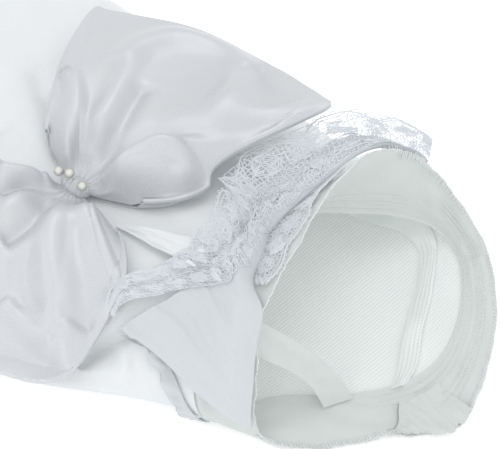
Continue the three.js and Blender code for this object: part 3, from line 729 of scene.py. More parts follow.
@dataclass(frozen=True)
class ClothFinish:
    """A cloth or thread, with what the eye sees of it.

    Attributes:
        name: real material and how it is made.
        weave: pattern of its relief.
        colour: sRGB hex of the cloth in full light.
        shade: sRGB hex of its slow drift, and of the bottoms of the weave, where it is painted shade.
        pitch: millimetres from one rib to the next.
        relief: millimetres of the weave's height.
        rough: roughness of the gloss.
        gloss: specular level.
        aniso: stretch of the highlight along the threads.
        sheen: strength of the soft edge light of fibres.
        cover: share of the light that the cloth stops.
        creep: millimetres of height of fine crumples.
        crumple: millimetres from crumple to crumple.
        turn: degrees that the ribs are turned in the cloth.
        lustre: share of the light that smooth filaments throw back like metal.
        painted_glow: strength of an even painted glow, an emission in the cloth's own colour that stands in
            for light the thin cloth would pass from its other side.
    """

    name: str
    weave: Weave
    colour: str
    shade: str
    pitch: float
    relief: float
    rough: float
    gloss: float = 0.4
    aniso: float = 0.0
    sheen: float = 0.15
    cover: float = 1.0
    creep: float = 0.1
    crumple: float = 5.0
    turn: float = 0.0
    lustre: float = 0.0
    painted_glow: float = 0.0

    DRIFT_PITCH = 26.0

    def material(self) -> bpy.types.Material:
        """Makes the cloth's material."""
        made = bpy.data.materials.new(self.name)
        made.use_nodes = True
        tree = made.node_tree
        tree.nodes.clear()
        coords = add_node(tree, "ShaderNodeUVMap", uv_map=MeshMaker.UV_NAME).outputs["UV"]
        turn = (0, 0, math.radians(self.turn))
        turned = add_node(tree, "ShaderNodeMapping", {"Vector": coords, "Rotation": turn})
        weave = self.relief_of(tree, turned.outputs["Vector"])
        place = add_node(tree, "ShaderNodeTexCoord").outputs["Object"]
        drift = add_node(tree, "ShaderNodeTexNoise", {
            "Vector": place, "Scale": 1 / (self.DRIFT_PITCH * MM), "Detail": 3.0, "Roughness": 0.6})
        creased = add_node(tree, "ShaderNodeTexNoise", {
            "Vector": place, "Scale": 1 / (self.crumple * MM), "Detail": 4.0, "Roughness": 0.55,
            "Distortion": 0.4})
        # The weave's bottoms are drawn towards the shade colour: painted shade in the grooves; the drift adds
        # random tone.
        low = add_node(tree, "ShaderNodeMath", {0: weave, 1: -0.35, 2: 0.42}, operation="MULTIPLY_ADD")
        tone = add_node(tree, "ShaderNodeMath", {0: drift.outputs["Fac"], 1: 0.5, 2: low.outputs[0]},
                        operation="MULTIPLY_ADD", use_clamp=True)
        colour = add_node(tree, "ShaderNodeMix",
                          {0: tone.outputs[0], 6: linear(self.colour), 7: linear(self.shade)},
                          data_type="RGBA")
        folds = add_node(tree, "ShaderNodeBump", {
            "Height": creased.outputs["Fac"], "Distance": self.creep * MM * 4, "Strength": 1.0})
        ribs = add_node(tree, "ShaderNodeBump", {
            "Height": weave, "Distance": self.relief * MM, "Strength": 1.0, "Normal": folds.outputs[0]})
        shine = add_node(tree, "ShaderNodeMath", {0: weave, 1: -0.12, 2: self.rough + 0.06},
                         operation="MULTIPLY_ADD")
        surface = add_node(tree, "ShaderNodeBsdfPrincipled", {
            "Base Color": colour.outputs[2], "Roughness": shine.outputs[0], "Normal": ribs.outputs[0]})
        for socket, value in (("Specular IOR Level", self.gloss), ("Anisotropic", self.aniso),
                              ("Sheen Weight", self.sheen), ("Sheen Roughness", 0.4),
                              ("Metallic", self.lustre)):
            surface.inputs[socket].default_value = value
        if self.aniso:
            way = add_node(tree, "ShaderNodeTangent", direction_type="UV_MAP", uv_map=MeshMaker.UV_NAME)
            tree.links.new(way.outputs[0], surface.inputs["Tangent"])
        if self.cover < 1:
            self.open_up(tree, surface, weave)
        # Painted glow: an even emission in the cloth's own colour that brightens it everywhere, standing in
        # for light from the cloth's other side.
        if self.painted_glow:
            tree.links.new(colour.outputs[2], surface.inputs["Emission Color"])
            surface.inputs["Emission Strength"].default_value = self.painted_glow
        add_node(tree, "ShaderNodeOutputMaterial", {"Surface": surface.outputs[0]})
        return made

    def relief_of(self, tree: bpy.types.NodeTree, coords: bpy.types.NodeSocket) -> bpy.types.NodeSocket:
        """Height of the weave from 0 to 1, from cloth coordinates in millimetres."""
        pace = math.pi / (10 * self.pitch)
        waves = {"Scale": pace, "Distortion": 0.5, "Detail": 1.5, "Detail Scale": 0.35, "Vector": coords}
        ribs = add_node(tree, "ShaderNodeTexWave", waves, bands_direction="X").outputs["Fac"]
        if self.weave in (Weave.TWILL, Weave.SATIN, Weave.YARN):
            return ribs
        if self.weave is Weave.NET:
            cells = add_node(tree, "ShaderNodeTexVoronoi",
                             {"Vector": coords, "Scale": 1 / self.pitch, "Randomness": 0.35},
                             feature="DISTANCE_TO_EDGE", voronoi_dimensions="2D")
            return add_node(tree, "ShaderNodeMath", {0: cells.outputs["Distance"], 1: 0.1},
                            operation="LESS_THAN").outputs[0]
        across = add_node(tree, "ShaderNodeTexWave", waves, bands_direction="Y").outputs["Fac"]
        return add_node(tree, "ShaderNodeMath", {0: ribs, 1: across}, operation="MAXIMUM").outputs[0]

    def open_up(self, tree: bpy.types.NodeTree, surface: bpy.types.Node, weave: bpy.types.NodeSocket) -> None:
        """Lets light pass between the cloth's threads."""
        if self.weave is Weave.NET:
            cover = add_node(tree, "ShaderNodeMath", {0: weave, 1: self.cover}, operation="MULTIPLY")
            tree.links.new(cover.outputs[0], surface.inputs["Alpha"])
        else:
            surface.inputs["Alpha"].default_value = self.cover


@dataclass(frozen=True)
class PearlFinish:
    """Glass bead with a pearl coat: a warm body under a clear hard layer; its colour darkens towards the
    outline as seen from the camera, which is painted shade.
    """

    name: str
    colour: str
    shade: str

    def material(self) -> bpy.types.Material:
        """Makes the bead's material."""
        made = bpy.data.materials.new(self.name)
        made.use_nodes = True
        tree = made.node_tree
        tree.nodes.clear()
        place = add_node(tree, "ShaderNodeTexCoord").outputs["Object"]
        cloud = add_node(tree, "ShaderNodeTexNoise", {"Vector": place, "Scale": 900.0, "Detail": 2.0})
        # The colour turns to the dark shade towards the outline as seen from the camera: painted shade on the
        # rim, with a random cloud.
        edge = add_node(tree, "ShaderNodeLayerWeight", {"Blend": 0.45})
        tone = add_node(tree, "ShaderNodeMath", {0: cloud.outputs["Fac"], 1: 0.3, 2: edge.outputs["Facing"]},
                        operation="MULTIPLY_ADD", use_clamp=True)
        colour = add_node(tree, "ShaderNodeMix",
                          {0: tone.outputs[0], 6: linear(self.colour), 7: linear(self.shade)},
                          data_type="RGBA")
        bump = add_node(tree, "ShaderNodeBump",
                        {"Height": cloud.outputs["Fac"], "Distance": 0.02 * MM, "Strength": 0.5})
        surface = add_node(tree, "ShaderNodeBsdfPrincipled", {
            "Base Color": colour.outputs[2], "Roughness": 0.22, "Normal": bump.outputs[0]})
        for socket, value in (("Specular IOR Level", 0.6), ("Coat Weight", 0.8), ("Coat Roughness", 0.06)):
            surface.inputs[socket].default_value = value
        add_node(tree, "ShaderNodeOutputMaterial", {"Surface": surface.outputs[0]})
        return made


class Finish(Enum):
    """Every finish of the glove; a cloth's through value is an even painted glow in its own colour."""

    # Glossy bow ribbon: cool grey-blue white whose highlights show the fine cross hatch of the floats
    BOW = ClothFinish("bow_polyester_satin_woven", Weave.SATIN, "#C9CBCD", "#BBBEC1", 0.55, 0.03, 0.5,
                      gloss=0.5, aniso=0.35, sheen=0.1, creep=0.03, crumple=7, turn=12, lustre=0.45,
                      painted_glow=0.07)
    # Glove's right side: the same satin, softer, with long quiet folds
    BODY = ClothFinish("glove_stretch_satin_right_side", Weave.SATIN, "#D5D7D8", "#CBCFD1", 0.55, 0.02, 0.45,
                       gloss=0.4, aniso=0.3, sheen=0.15, creep=0.06, crumple=11, painted_glow=0.1)
    # Glove's wrong side, seen in the mouth: matt with clear diagonal ribs; real ribs are finer than a pixel;
    # its strong even glow is painted light that brightens the shaded inside of the mouth
    LINING = ClothFinish("glove_stretch_satin_wrong_side_twill", Weave.TWILL, "#D5D8D7", "#C4C9C7", 0.85,
                         0.1, 0.75,
                         gloss=0.2, sheen=0.2, creep=0.05, crumple=9, turn=82, painted_glow=0.27)
    # Sheer crystal organza: bluish, lets a little light pass, faint open weave; a weak painted glow
    ORGANZA = ClothFinish("organza_sheer_plain_weave", Weave.PLAIN, "#C9CCCF", "#BCC1C5", 0.5, 0.02, 0.6,
                          gloss=0.25, sheen=0.25, cover=0.9, creep=0.06, crumple=6, painted_glow=0.1)
    # The same organza where the lining shows beneath it: a shade greener, with a weak painted glow
    BAND = ClothFinish("organza_sheer_over_satin", Weave.PLAIN, "#C9CDCB", "#BCC2C0", 0.5, 0.02, 0.6,
                       gloss=0.25, sheen=0.25, cover=0.9, creep=0.05, crumple=6, painted_glow=0.12)
    # Facing inside the mouth: smooth, as light as the lining, which its painted glow makes it
    FACING = ClothFinish("knit_facing_smooth", Weave.PLAIN, "#D0D5D3", "#C3C9C7", 0.5, 0.02, 0.7,
                         gloss=0.2, creep=0.04, crumple=8, painted_glow=0.26)
    # Net between the lace's threads: too fine to draw at its own pitch, so coarser and mostly open; a painted
    # glow lightens it where it lies in shade
    TULLE = ClothFinish("lace_ground_tulle_net", Weave.NET, "#D3D6DA", "#C6CACF", 0.8, 0.02, 0.7,
                        gloss=0.2, cover=0.8, creep=0.03, painted_glow=0.26)
    # Lace thread, twisted and slightly fuzzy
    LACE = ClothFinish("lace_cotton_thread_twisted", Weave.YARN, "#CACED2", "#BDC2C6", 0.4, 0.02, 0.65,
                       gloss=0.25, sheen=0.2, creep=0.02, crumple=1, painted_glow=0.17)
    # Sewing thread of seams, hems and the overlocked rim: a touch brighter and glossier than the cloth
    THREAD = ClothFinish("polyester_sewing_thread", Weave.YARN, "#D1D5D4", "#C0C5C5", 0.3, 0.02, 0.5,
                         gloss=0.4, sheen=0.2, creep=0.01, crumple=1, painted_glow=0.15)
    # A dark thread along a narrow slit between two layers: its dark grey is painted shade, where no light
    # comes in
    PAINTED_SLIT_SHADE = ClothFinish("slit_thread_painted_shade", Weave.YARN, "#A3A19A", "#8A8881", 0.3, 0.02, 0.8,
                       gloss=0.1)
    # Pearl: pale cream centre; the dark grey is painted shade at its outline
    PEARL = PearlFinish("pearl_coated_glass_bead", "#E0DFDA", "#807F78")


class Wardrobe:
    """Makes each finish once and hands it out."""

    def __init__(self) -> None:
        """Starts with no material made."""
        self.made: dict[Finish, bpy.types.Material] = {}

    def get(self, finish: Finish) -> bpy.types.Material:
        """The material of a finish."""
        if finish not in self.made:
            self.made[finish] = finish.value.material()
        return self.made[finish]


@dataclass
class Kit:
    """What every piece needs: the materials, the move onto the frame, and what is reported."""

    wardrobe: Wardrobe = field(default_factory=Wardrobe)
    shift: Array = field(default_factory=shift_to_frame)

    def finish_piece(self, piece: bpy.types.Object, slot: str, replaces: str = "") -> bpy.types.Object:
        """Puts a finished piece on the frame.

        Args:
            piece: the new object.
            slot: the record's material slot; not used.
            replaces: the CAD node that it stands for, if any.

        Returns:
            The same object.
        """
        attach(piece, "root")
        if replaces:
            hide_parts(replaces)
        LOG.info("%s: %d faces", piece.name, len(piece.data.polygons))
        return piece

    def cloth(self, maker: MeshMaker, finishes: Sequence[Finish]) -> bpy.types.Object:
        """Makes a collected mesh with its finishes."""
        return maker.make([self.wardrobe.get(finish) for finish in finishes], self.shift)

    def thread(self, threads: Threads, finish: Finish) -> bpy.types.Object:
        """Makes collected threads with their finish."""
        return threads.make(self.wardrobe.get(finish), self.shift)


@dataclass
class Body:
    """The satin tube and its seams."""

    kit: Kit
    around: int = 260
    along: int = 172
    wall: float = 0.6

    FLAT = (0.232, 0.186)
    # Turn and share along of the facing's far and near edges, and of the ragged allowance's seam
    FACING = (
        ((345, 0.76), (352, 0.8), (357, 0.84), (362, 0.88), (364, 0.92), (358, 0.945), (345, 0.94),
         (331, 0.944),
         (314.5, 0.956), (299, 0.985), (287, 1.0)),
        ((315.5, 0.743), (321.5, 0.78), (328.5, 0.816), (339, 0.858), (342, 0.888), (339, 0.906),
         (326, 0.918),
         (314, 0.926), (300, 0.95), (288, 0.98), (278, 1.0)),
    )
    ALLOWANCE = ((160.5, 0.915), (166, 0.943), (172.5, 0.962), (181, 0.977), (191, 0.988), (198, 0.995),
                 (206, 0.995))
    # Millimetres that the facing stands off at its edges and more in its middle; its cloth across and per row
    FACING_SWELL, FACING_CLOTH = (0.5, 0.8), (14, 7.5)
    # Shares across the facing of its stitched rows, and the path's row that they start from
    FACING_ROWS, FACING_ROWS_FROM = (0.14, 0.36, 0.58, 0.8), 4.6
    HEM_ROWS, HEM_STITCHES = (0.017, 0.027), 150
    # Soft places of the satin in plan beside the bow: up or down by a millimetre or so
    FOLDS = (
        Fold(((-40, 20), (-22, 8), (-8, -2)), -1.6, 3.0),
        Fold(((-44, -8), (-24, -10), (-8, -12)), 1.2, 3.5),
        Fold(((40, -38), (22, -36), (8, -30)), -1.2, 2.5),
        Fold(((64, -32), (52, -24), (38, -22)), 1.0, 3.0),
        Fold((
            (37.5, -30.0), (35.4, -32.5), (33.1, -35.9), (30.9, -39.4), (29.4, -43.2), (26, -47.7),
            (22, -50),
        ), -2.2, 1.6),
        Fold(((41, -35), (38, -40), (34, -46)), 1.2, 3.0),
        Fold(((-31, -3.5), (-24.6, -5.7), (-20.9, -4.8)), -1.2, 4.0),
        Fold(((-43.4, 10), (-36.9, 15.2), (-28.1, 17.2)), 1.2, 4.0),
        Fold(((46.3, -32.6), (49.7, -33.2), (54.4, -33.3), (60.6, -33)), 0.8, 1.5),
    )

    def outside(self, turn: Array, along: Array) -> Array:
        """Outside of the tube with its quiet folds."""
        places = Shell.tube(turn, along)
        x, y = places[..., 0], places[..., 1]
        around = Shell.tube(turn + 2, along) - Shell.tube(turn - 2, along)
        ahead = Shell.tube(turn, np.minimum(along + 0.01, 1)) - Shell.tube(turn, np.maximum(along - 0.01, 0))
        top = smooth(2, 6, places[..., 2])
        lift = ripples(x, y, 5, 34, 0.45) + ripples(x, y * 1.6, 6, 15, 0.14)
        lift = lift + sum(fold.height(x, y) for fold in self.FOLDS)
        ends = smooth(1.0, 0.93, along)
        places += unit(np.cross(around, ahead)) * (top * ends * lift)[..., None]
        return places

    def lining(self, turn: Array, along: Array, lift: Array) -> Array:
        """Places over the wrong side of the tube, inside it."""
        middle = self.outside(turn, along)
        around = self.outside(turn + 2, along) - self.outside(turn - 2, along)
        before, after = np.maximum(along - 0.01, 0), np.minimum(along + 0.01, 1)
        ahead = self.outside(turn, after) - self.outside(turn, before)
        place = middle - unit(np.cross(around, ahead)) * (self.wall + lift)[..., None]
        place[..., 2] = np.maximum(place[..., 2], self.wall + lift)
        return place

    def facing(self) -> bpy.types.Object:
        """Smooth facing over the far wall inside the mouth, with four stitched rows."""
        paths = [Table("key turn along", [(index, *place) for index, place in enumerate(edge)])
                 for edge in self.FACING]

        def at(row: Array, side: Array, lift: Array) -> Array:
            outer, inner = ([path.read(column, row) for column in ("turn", "along")] for path in paths)
            return self.lining(mix(outer[0], inner[0], side), mix(outer[1], inner[1], side), lift)
        last = len(self.FACING[0]) - 1
        row, side = np.broadcast_arrays(np.linspace(0, last, 120)[:, None], np.linspace(0, 1, 24)[None, :])
        low, high = self.FACING_SWELL
        waves = ripples(row * 7, side * 9, 51, 14, 0.15)
        swell = low + high * np.sin(np.pi * side) ** 0.7 * smooth(0, 1, row) + waves
        upper = at(row, side, swell + 0.3)
        maker = MeshMaker("mouth_facing")
        wide, step = self.FACING_CLOTH
        maker.layers(upper, at(row, side, swell - 0.1), np.stack([side * wide, row * step], -1))
        piece = self.kit.finish_piece(self.kit.cloth(maker, (Finish.FACING,)), "sheer_cloth")
        threads = Threads("mouth_facing_stitches")
        for share in self.FACING_ROWS:
            along = stitches(self.FACING_ROWS_FROM, last, 62, (0.1, 0.72))
            across = np.full(along.shape, share)
            threads.lay(at(along, across, low + high * np.sin(np.pi * across) ** 0.7 + 0.45), 0.17)
        worked = self.kit.finish_piece(self.kit.thread(threads, Finish.THREAD), "sheer_cloth")
        return piece

    def allowance(self) -> bpy.types.Object:
        """Ragged seam allowance that shows below the frill on the near side."""
        path = Table("key turn along", [(index, *place) for index, place in enumerate(self.ALLOWANCE)])
        last = len(self.ALLOWANCE) - 1
        row, side = np.broadcast_arrays(np.linspace(0, last, 90)[:, None], np.linspace(0, 1, 12)[None, :])
        ragged = 1 + 0.2 * ripples(row * 8, row * 0, 52, 9, 1.0) * side
        along = path.read("along", row) - 0.02 * side * ragged
        lift = 0.5 + 0.9 * side * (1 + ripples(row * 8, side * 4, 53, 5, 0.5))
        turn = path.read("turn", row)
        def at(over: float) -> Array:
            around = Shell.tube(turn + 2, along) - Shell.tube(turn - 2, along)
            ahead = Shell.tube(turn, np.minimum(along + 0.01, 1)) - Shell.tube(turn, along - 0.01)
            return self.outside(turn, along) + unit(np.cross(around, ahead)) * (lift + over)[..., None]
        maker = MeshMaker("seam_allowance_ragged")
        maker.layers(at(0.3), at(0.0), np.stack([side * 5, row * 8], -1))
        piece = self.kit.finish_piece(self.kit.cloth(maker, (Finish.ORGANZA,)), "sheer_cloth")
        return piece

    def build(self) -> bpy.types.Object:
        """Makes the tube, satin outside and ribbed inside."""
        turn = (360 * np.arange(self.around) / self.around)[:, None]
        along = np.linspace(0, 1, self.along)[None, :] ** 0.92
        turn, along = np.broadcast_arrays(turn, along)
        outer = self.outside(turn, along)
        inner = outer - self.wall * grid_normals(outer, True)
        low = outer[..., 2] < 2 * self.wall
        inner[..., 2] = np.where(low, np.minimum(outer[..., 2] + self.wall, inner[..., 2] + 2 * self.wall),
                                 inner[..., 2])
        girth = np.arange(self.around + 1)[:, None] * self.FLAT[0] / MM / self.around
        rows = np.concatenate([outer, outer[:1]])
        uv = np.stack(np.broadcast_arrays(girth, rows[..., 0]), -1)
        maker = MeshMaker("glove_tube")
        maker.layers(outer, inner, uv, (0, 1), loop=True)
        piece = self.kit.cloth(maker, (Finish.BODY, Finish.LINING))
        self.kit.finish_piece(piece, "body_satin", "glove_body")
        return piece

    def hem(self) -> bpy.types.Object:
        """Two rows of stitches round the arm's hem."""
        threads = Threads("arm_hem_stitches")
        for at in self.HEM_ROWS:
            turn = stitches(0, 360, self.HEM_STITCHES, (0.12, 0.78))
            line = self.outside(turn, np.full(turn.shape, at))
            out = (line - line.mean(axis=(0, 1)) * np.array([0, 1, 0.6])) * np.array([0, 1, 1])
            threads.lay(line + 0.12 * unit(out), 0.13)
        return self.kit.finish_piece(self.kit.thread(threads, Finish.THREAD), "body_satin")


@dataclass
class Band:
    """The sheer band round the mouth, its seam and its overlocked rim."""

    kit: Kit
    around: int = 300
    across: int = 22
    wall: float = 0.6

    FLAT = (0.0175, 0.2)
    GIRTH = 245.0
    # Millimetres under the band's outside where its inner rows of stitches lie
    INSIDE = -0.85
    # Share across and height of the seam's rows, the turns between which they show, and their stitches
    SEAM_ROWS = ((0.05, 0.12), (0.12, 0.12), (0.05, INSIDE), (0.16, INSIDE), (0.27, INSIDE))
    SEAM_TURNS, SEAM_STITCHES = (268, 478), 130
    FAR_ROWS, FAR_TURNS, FAR_STITCHES = (0.45, 0.56, 0.67), (288, 395), 75
    SCRAP_TURNS, RIM_TURNS, RIM_LOOPS, RIM_CORDS = (257, 302), (203, 432), 190, 100

    def surface(self, turn: Array, share: Array, lift: Array) -> Array:
        """Outside of the band with its soft waves, at a height over it."""
        wave = ripples(turn * 0.8, share * 18, 11, 13, 0.3) * smooth(0.02, 0.3, share)
        ragged = 0.3 * ripples(turn, turn * 0, 12, 9, 1.0) * smooth(0.6, 1, share) / Shell.BAND_DEPTH
        length = Shell.band_length(turn)
        return Shell.lifted(turn, (share + ragged) * length, lift + wave * smooth(0, 0.2, share))

    def build(self) -> bpy.types.Object:
        """Makes the band."""
        turn = (360 * np.arange(self.around) / self.around)[:, None]
        share = np.linspace(-0.06, 1, self.across)[None, :]
        turn, share = np.broadcast_arrays(turn, share)
        lap = -0.8 * smooth(0.05, 0.0, share)
        outer = self.surface(turn, share, lap)
        inner = self.surface(turn, share, lap - self.wall)
        girth = np.arange(self.around + 1)[:, None] * self.GIRTH / self.around
        uv = np.stack(np.broadcast_arrays(girth, np.linspace(0, Shell.BAND_DEPTH, self.across)[None, :]), -1)
        for grid in (outer, inner):
            grid[..., 2] = np.maximum(grid[..., 2], 0.0)
        maker = MeshMaker("mouth_band_sheer")
        maker.layers(outer, inner, uv, loop=True)
        piece = self.kit.cloth(maker, (Finish.BAND,))
        self.kit.finish_piece(piece, "sheer_cloth", "mouth_band")
        return piece

    def seams(self) -> bpy.types.Object:
        """Rows of stitches along the seam, outside and inside, and three more over the band's far side."""
        threads = Threads("band_seam_stitches")
        for share, lift in self.SEAM_ROWS:
            turn = stitches(*self.SEAM_TURNS, self.SEAM_STITCHES)
            line = self.surface(turn, np.full(turn.shape, share), np.full(turn.shape, lift))
            line[..., 2] = np.maximum(line[..., 2], 0.15)
            threads.lay(line, 0.11)
        for share in self.FAR_ROWS:
            turn = stitches(*self.FAR_TURNS, self.FAR_STITCHES)
            line = self.surface(turn, np.full(turn.shape, share), np.full(turn.shape, self.INSIDE))
            line[..., 2] = np.maximum(line[..., 2], 0.8)
            threads.lay(line, 0.14)
        return self.kit.finish_piece(self.kit.thread(threads, Finish.THREAD), "sheer_cloth")

    def scraps(self) -> bpy.types.Object:
        """Ragged end of the band's cloth at the palm side, past a short dark slit: a thread whose dark grey
        is painted shade.
        """
        first, last = self.SCRAP_TURNS
        turn, share = np.broadcast_arrays(np.linspace(first, last, 110)[:, None],
                                          np.linspace(0, 1, 16)[None, :])
        length = Shell.band_length(turn)
        ends = smooth(first, first + 6, turn) * smooth(last, last - 12, turn)
        torn = ripples(turn * 1.2, turn * 0, 54, 13, 1.1) + ripples(turn * 1.2, turn * 0, 55, 4, 0.3)
        beyond = ends * (1.2 + torn)
        run = mix((0.25 + 0.62 * smooth(279, 258, turn)) * length, length + beyond, share)
        lift = 0.9 + 0.7 * smooth(0.3, 1, share) + ripples(turn * 1.2, share * 12, 56, 8, 0.25)
        def at(over: float) -> Array:
            place = Shell.lifted(turn, run, 0.0 * lift)
            place[..., 2] = np.maximum(place[..., 2], 0) + lift + over
            return place
        maker = MeshMaker("mouth_band_scraps")
        maker.layers(at(0.25), at(0.0), np.stack([share * 14, turn * 0.7], -1))
        piece = self.kit.finish_piece(self.kit.cloth(maker, (Finish.BAND,)), "sheer_cloth")
        line = at(0.3)[:, 0]
        # Dark thread along the slit: painted shade of the gap.
        threads = Threads("mouth_band_slit_painted_shade")
        threads.lay(line[None, 2:46:3], 0.12)
        worked = self.kit.finish_piece(self.kit.thread(threads, Finish.PAINTED_SLIT_SHADE), "sheer_cloth")
        return piece

    def rim(self) -> bpy.types.Object:
        """Overlock stitches over the raw rim: slanted loops and a cord along it."""
        threads = Threads("rim_overlock")
        draw = np.random.default_rng(21)
        count = self.RIM_LOOPS
        start = np.linspace(*self.RIM_TURNS, count) + draw.uniform(-0.35, 0.35, count)
        way = np.array([
            (0.0, 0.9, 0.2), (0.25, 0.97, 0.3), (0.45, 1.02, -0.25), (0.7, 0.96, -0.85), (0.9, 0.89, -0.8),
        ])
        turn = start[:, None] + 1.3 * way[:, 0]
        reach = way[:, 1] + draw.uniform(-0.012, 0.012, (count, 1))
        line = self.surface(turn, np.broadcast_to(reach, turn.shape), np.broadcast_to(way[:, 2], turn.shape))
        line[..., 2] = np.maximum(line[..., 2], 0.15)
        threads.lay(line, 0.15)
        turn = 360 * (np.arange(self.RIM_CORDS)[:, None] + np.linspace(0, 1.02, 9)) / self.RIM_CORDS
        cord = self.surface(turn, 1.004 + 0.006 * np.sin(turn * 1.3), np.full(turn.shape, -0.3))
        cord[..., 2] = np.maximum(cord[..., 2], 0.2)
        threads.lay(cord, 0.2)
        return self.kit.finish_piece(self.kit.thread(threads, Finish.THREAD), "sheer_cloth")


@dataclass
class Strap:
    """The narrow sheer strip that parts the thumb opening from the finger opening."""

    kit: Kit
    along: int = 60
    across: int = 14
    wall: float = 0.6

    FLAT = (0.01, 0.027)
    CORNERS = ((167, 0.75), (152, 0.75), (243, 0.22), (259, 0.03))
    INSIDE, SAG = (-1.9, -1.0), 4.0
    BOW = (0.9, 3.4, 1.0)
    # Millimetres of cloth across and along
    CLOTH = (13, 36)

    def surface(self, share: Array, side: Array) -> Array:
        """Middle of the strip at shares along and across it."""
        def corner(index: int) -> Array:
            turn, band = (np.array(float(value)) for value in self.CORNERS[index])
            return Shell.lifted(turn, band * Shell.band_length(turn), np.array(self.INSIDE[index // 2]))
        start = mix(corner(0), corner(1), side[..., None])
        stop = mix(corner(2), corner(3), side[..., None])
        place = mix(start, stop, share[..., None])
        place[..., 2] -= self.SAG * np.sin(np.pi * share) * (1 - share)
        return place + np.sin(np.pi * share)[..., None] * np.array(self.BOW)

    def build(self) -> bpy.types.Object:
        """Makes the strip, gathered a little along its length."""
        share, side = np.broadcast_arrays(np.linspace(0, 1, self.along)[:, None],
                                          np.linspace(0, 1, self.across)[None, :])
        middle = self.surface(share, side)
        normals = grid_normals(middle, False)
        wave = 0.2 * np.sin(2 * np.pi * (1.3 * side + 0.6 * share))
        wave = wave + ripples(side * 10, share * 30, 57, 7, 0.2)
        free = smooth(0, 0.2, share) * smooth(0, 0.2, 1 - share)
        middle = middle + (wave * free)[..., None] * normals
        uv = np.stack([side, share], -1) * self.CLOTH
        maker = MeshMaker("thumb_strap_sheer")
        maker.layers(middle + 0.5 * self.wall * normals, middle - 0.5 * self.wall * normals, uv)
        piece = self.kit.cloth(maker, (Finish.BAND,))
        self.kit.finish_piece(piece, "sheer_cloth", "thumb_strap")
        return piece


@dataclass
class Flounce:
    """The sheer frill, sewn at the mouth and turned back over the glove."""

    kit: Kit
    along: int = 280
    across: int = 60
    wall: float = 0.5

    FLAT, AREA = (0.022, 0.118), 0.002
    LENGTH = 118.0
    # Share across at the end of the near corner, and millimetres that the corner reaches past the lace's seam
    CORNER_SHARE, CORNER = 1.3, 6.5

    @classmethod
    def rise(cls, along: Array, share: Array) -> Array:
        """Millimetres that the frill's soft folds and crumples stand over its plain shape."""
        u, v = along * cls.LENGTH, share * Shell.FRILL_DEPTH
        soft = ripples(u * 1.3, v * 0.5, 31, 17, 0.8) * smooth(0.1, 0.5, share)
        streaks = ripples(u * 2.6, v * 0.25, 32, 9, 0.12) * smooth(0, 0.2, share)
        middle = smooth(0.3, 0.55, along) * smooth(1.0, 0.8, along)
        crumples = ripples(u, v, 33, 6, 0.5) * middle * smooth(0, 0.2, share)
        return np.maximum(0.0, 0.5 + soft + streaks + crumples)

    @classmethod
    def corner(cls, along: Array) -> Array:
        """Millimetres past the lace's seam that the sheer cloth reaches, at its near corner only."""
        return cls.CORNER * smooth(0.3, 0.02, along)

    def surface(self, along: Array, share: Array, lift: Array) -> Array:
        """The frill with its soft folds, at a height over its underside; shares over 1 are in the corner."""
        past = np.maximum(share - 1, 0) / (self.CORNER_SHARE - 1)
        out = past * self.corner(along) / Shell.LACE_WIDTH
        return Shell.frill(along, np.minimum(share, 1), out, self.rise(along, np.minimum(share, 1)) + lift)

    def build(self) -> bpy.types.Object:
        """Makes the frill."""
        along = np.linspace(0, 1, self.along)[:, None]
        share = self.CORNER_SHARE * np.linspace(0, 1, self.across)[None, :] ** 1.25
        along, share = np.broadcast_arrays(along, share)
        lower = self.surface(along, share, np.zeros(along.shape))
        upper = self.surface(along, share, np.full(along.shape, self.wall))
        uv = np.stack([along * self.LENGTH, share * Shell.FRILL_DEPTH], -1)
        maker = MeshMaker("flounce_sheer")
        maker.layers(upper, lower, uv)
        piece = self.kit.cloth(maker, (Finish.ORGANZA,))
        self.kit.finish_piece(piece, "sheer_cloth", "flounce")
        return piece


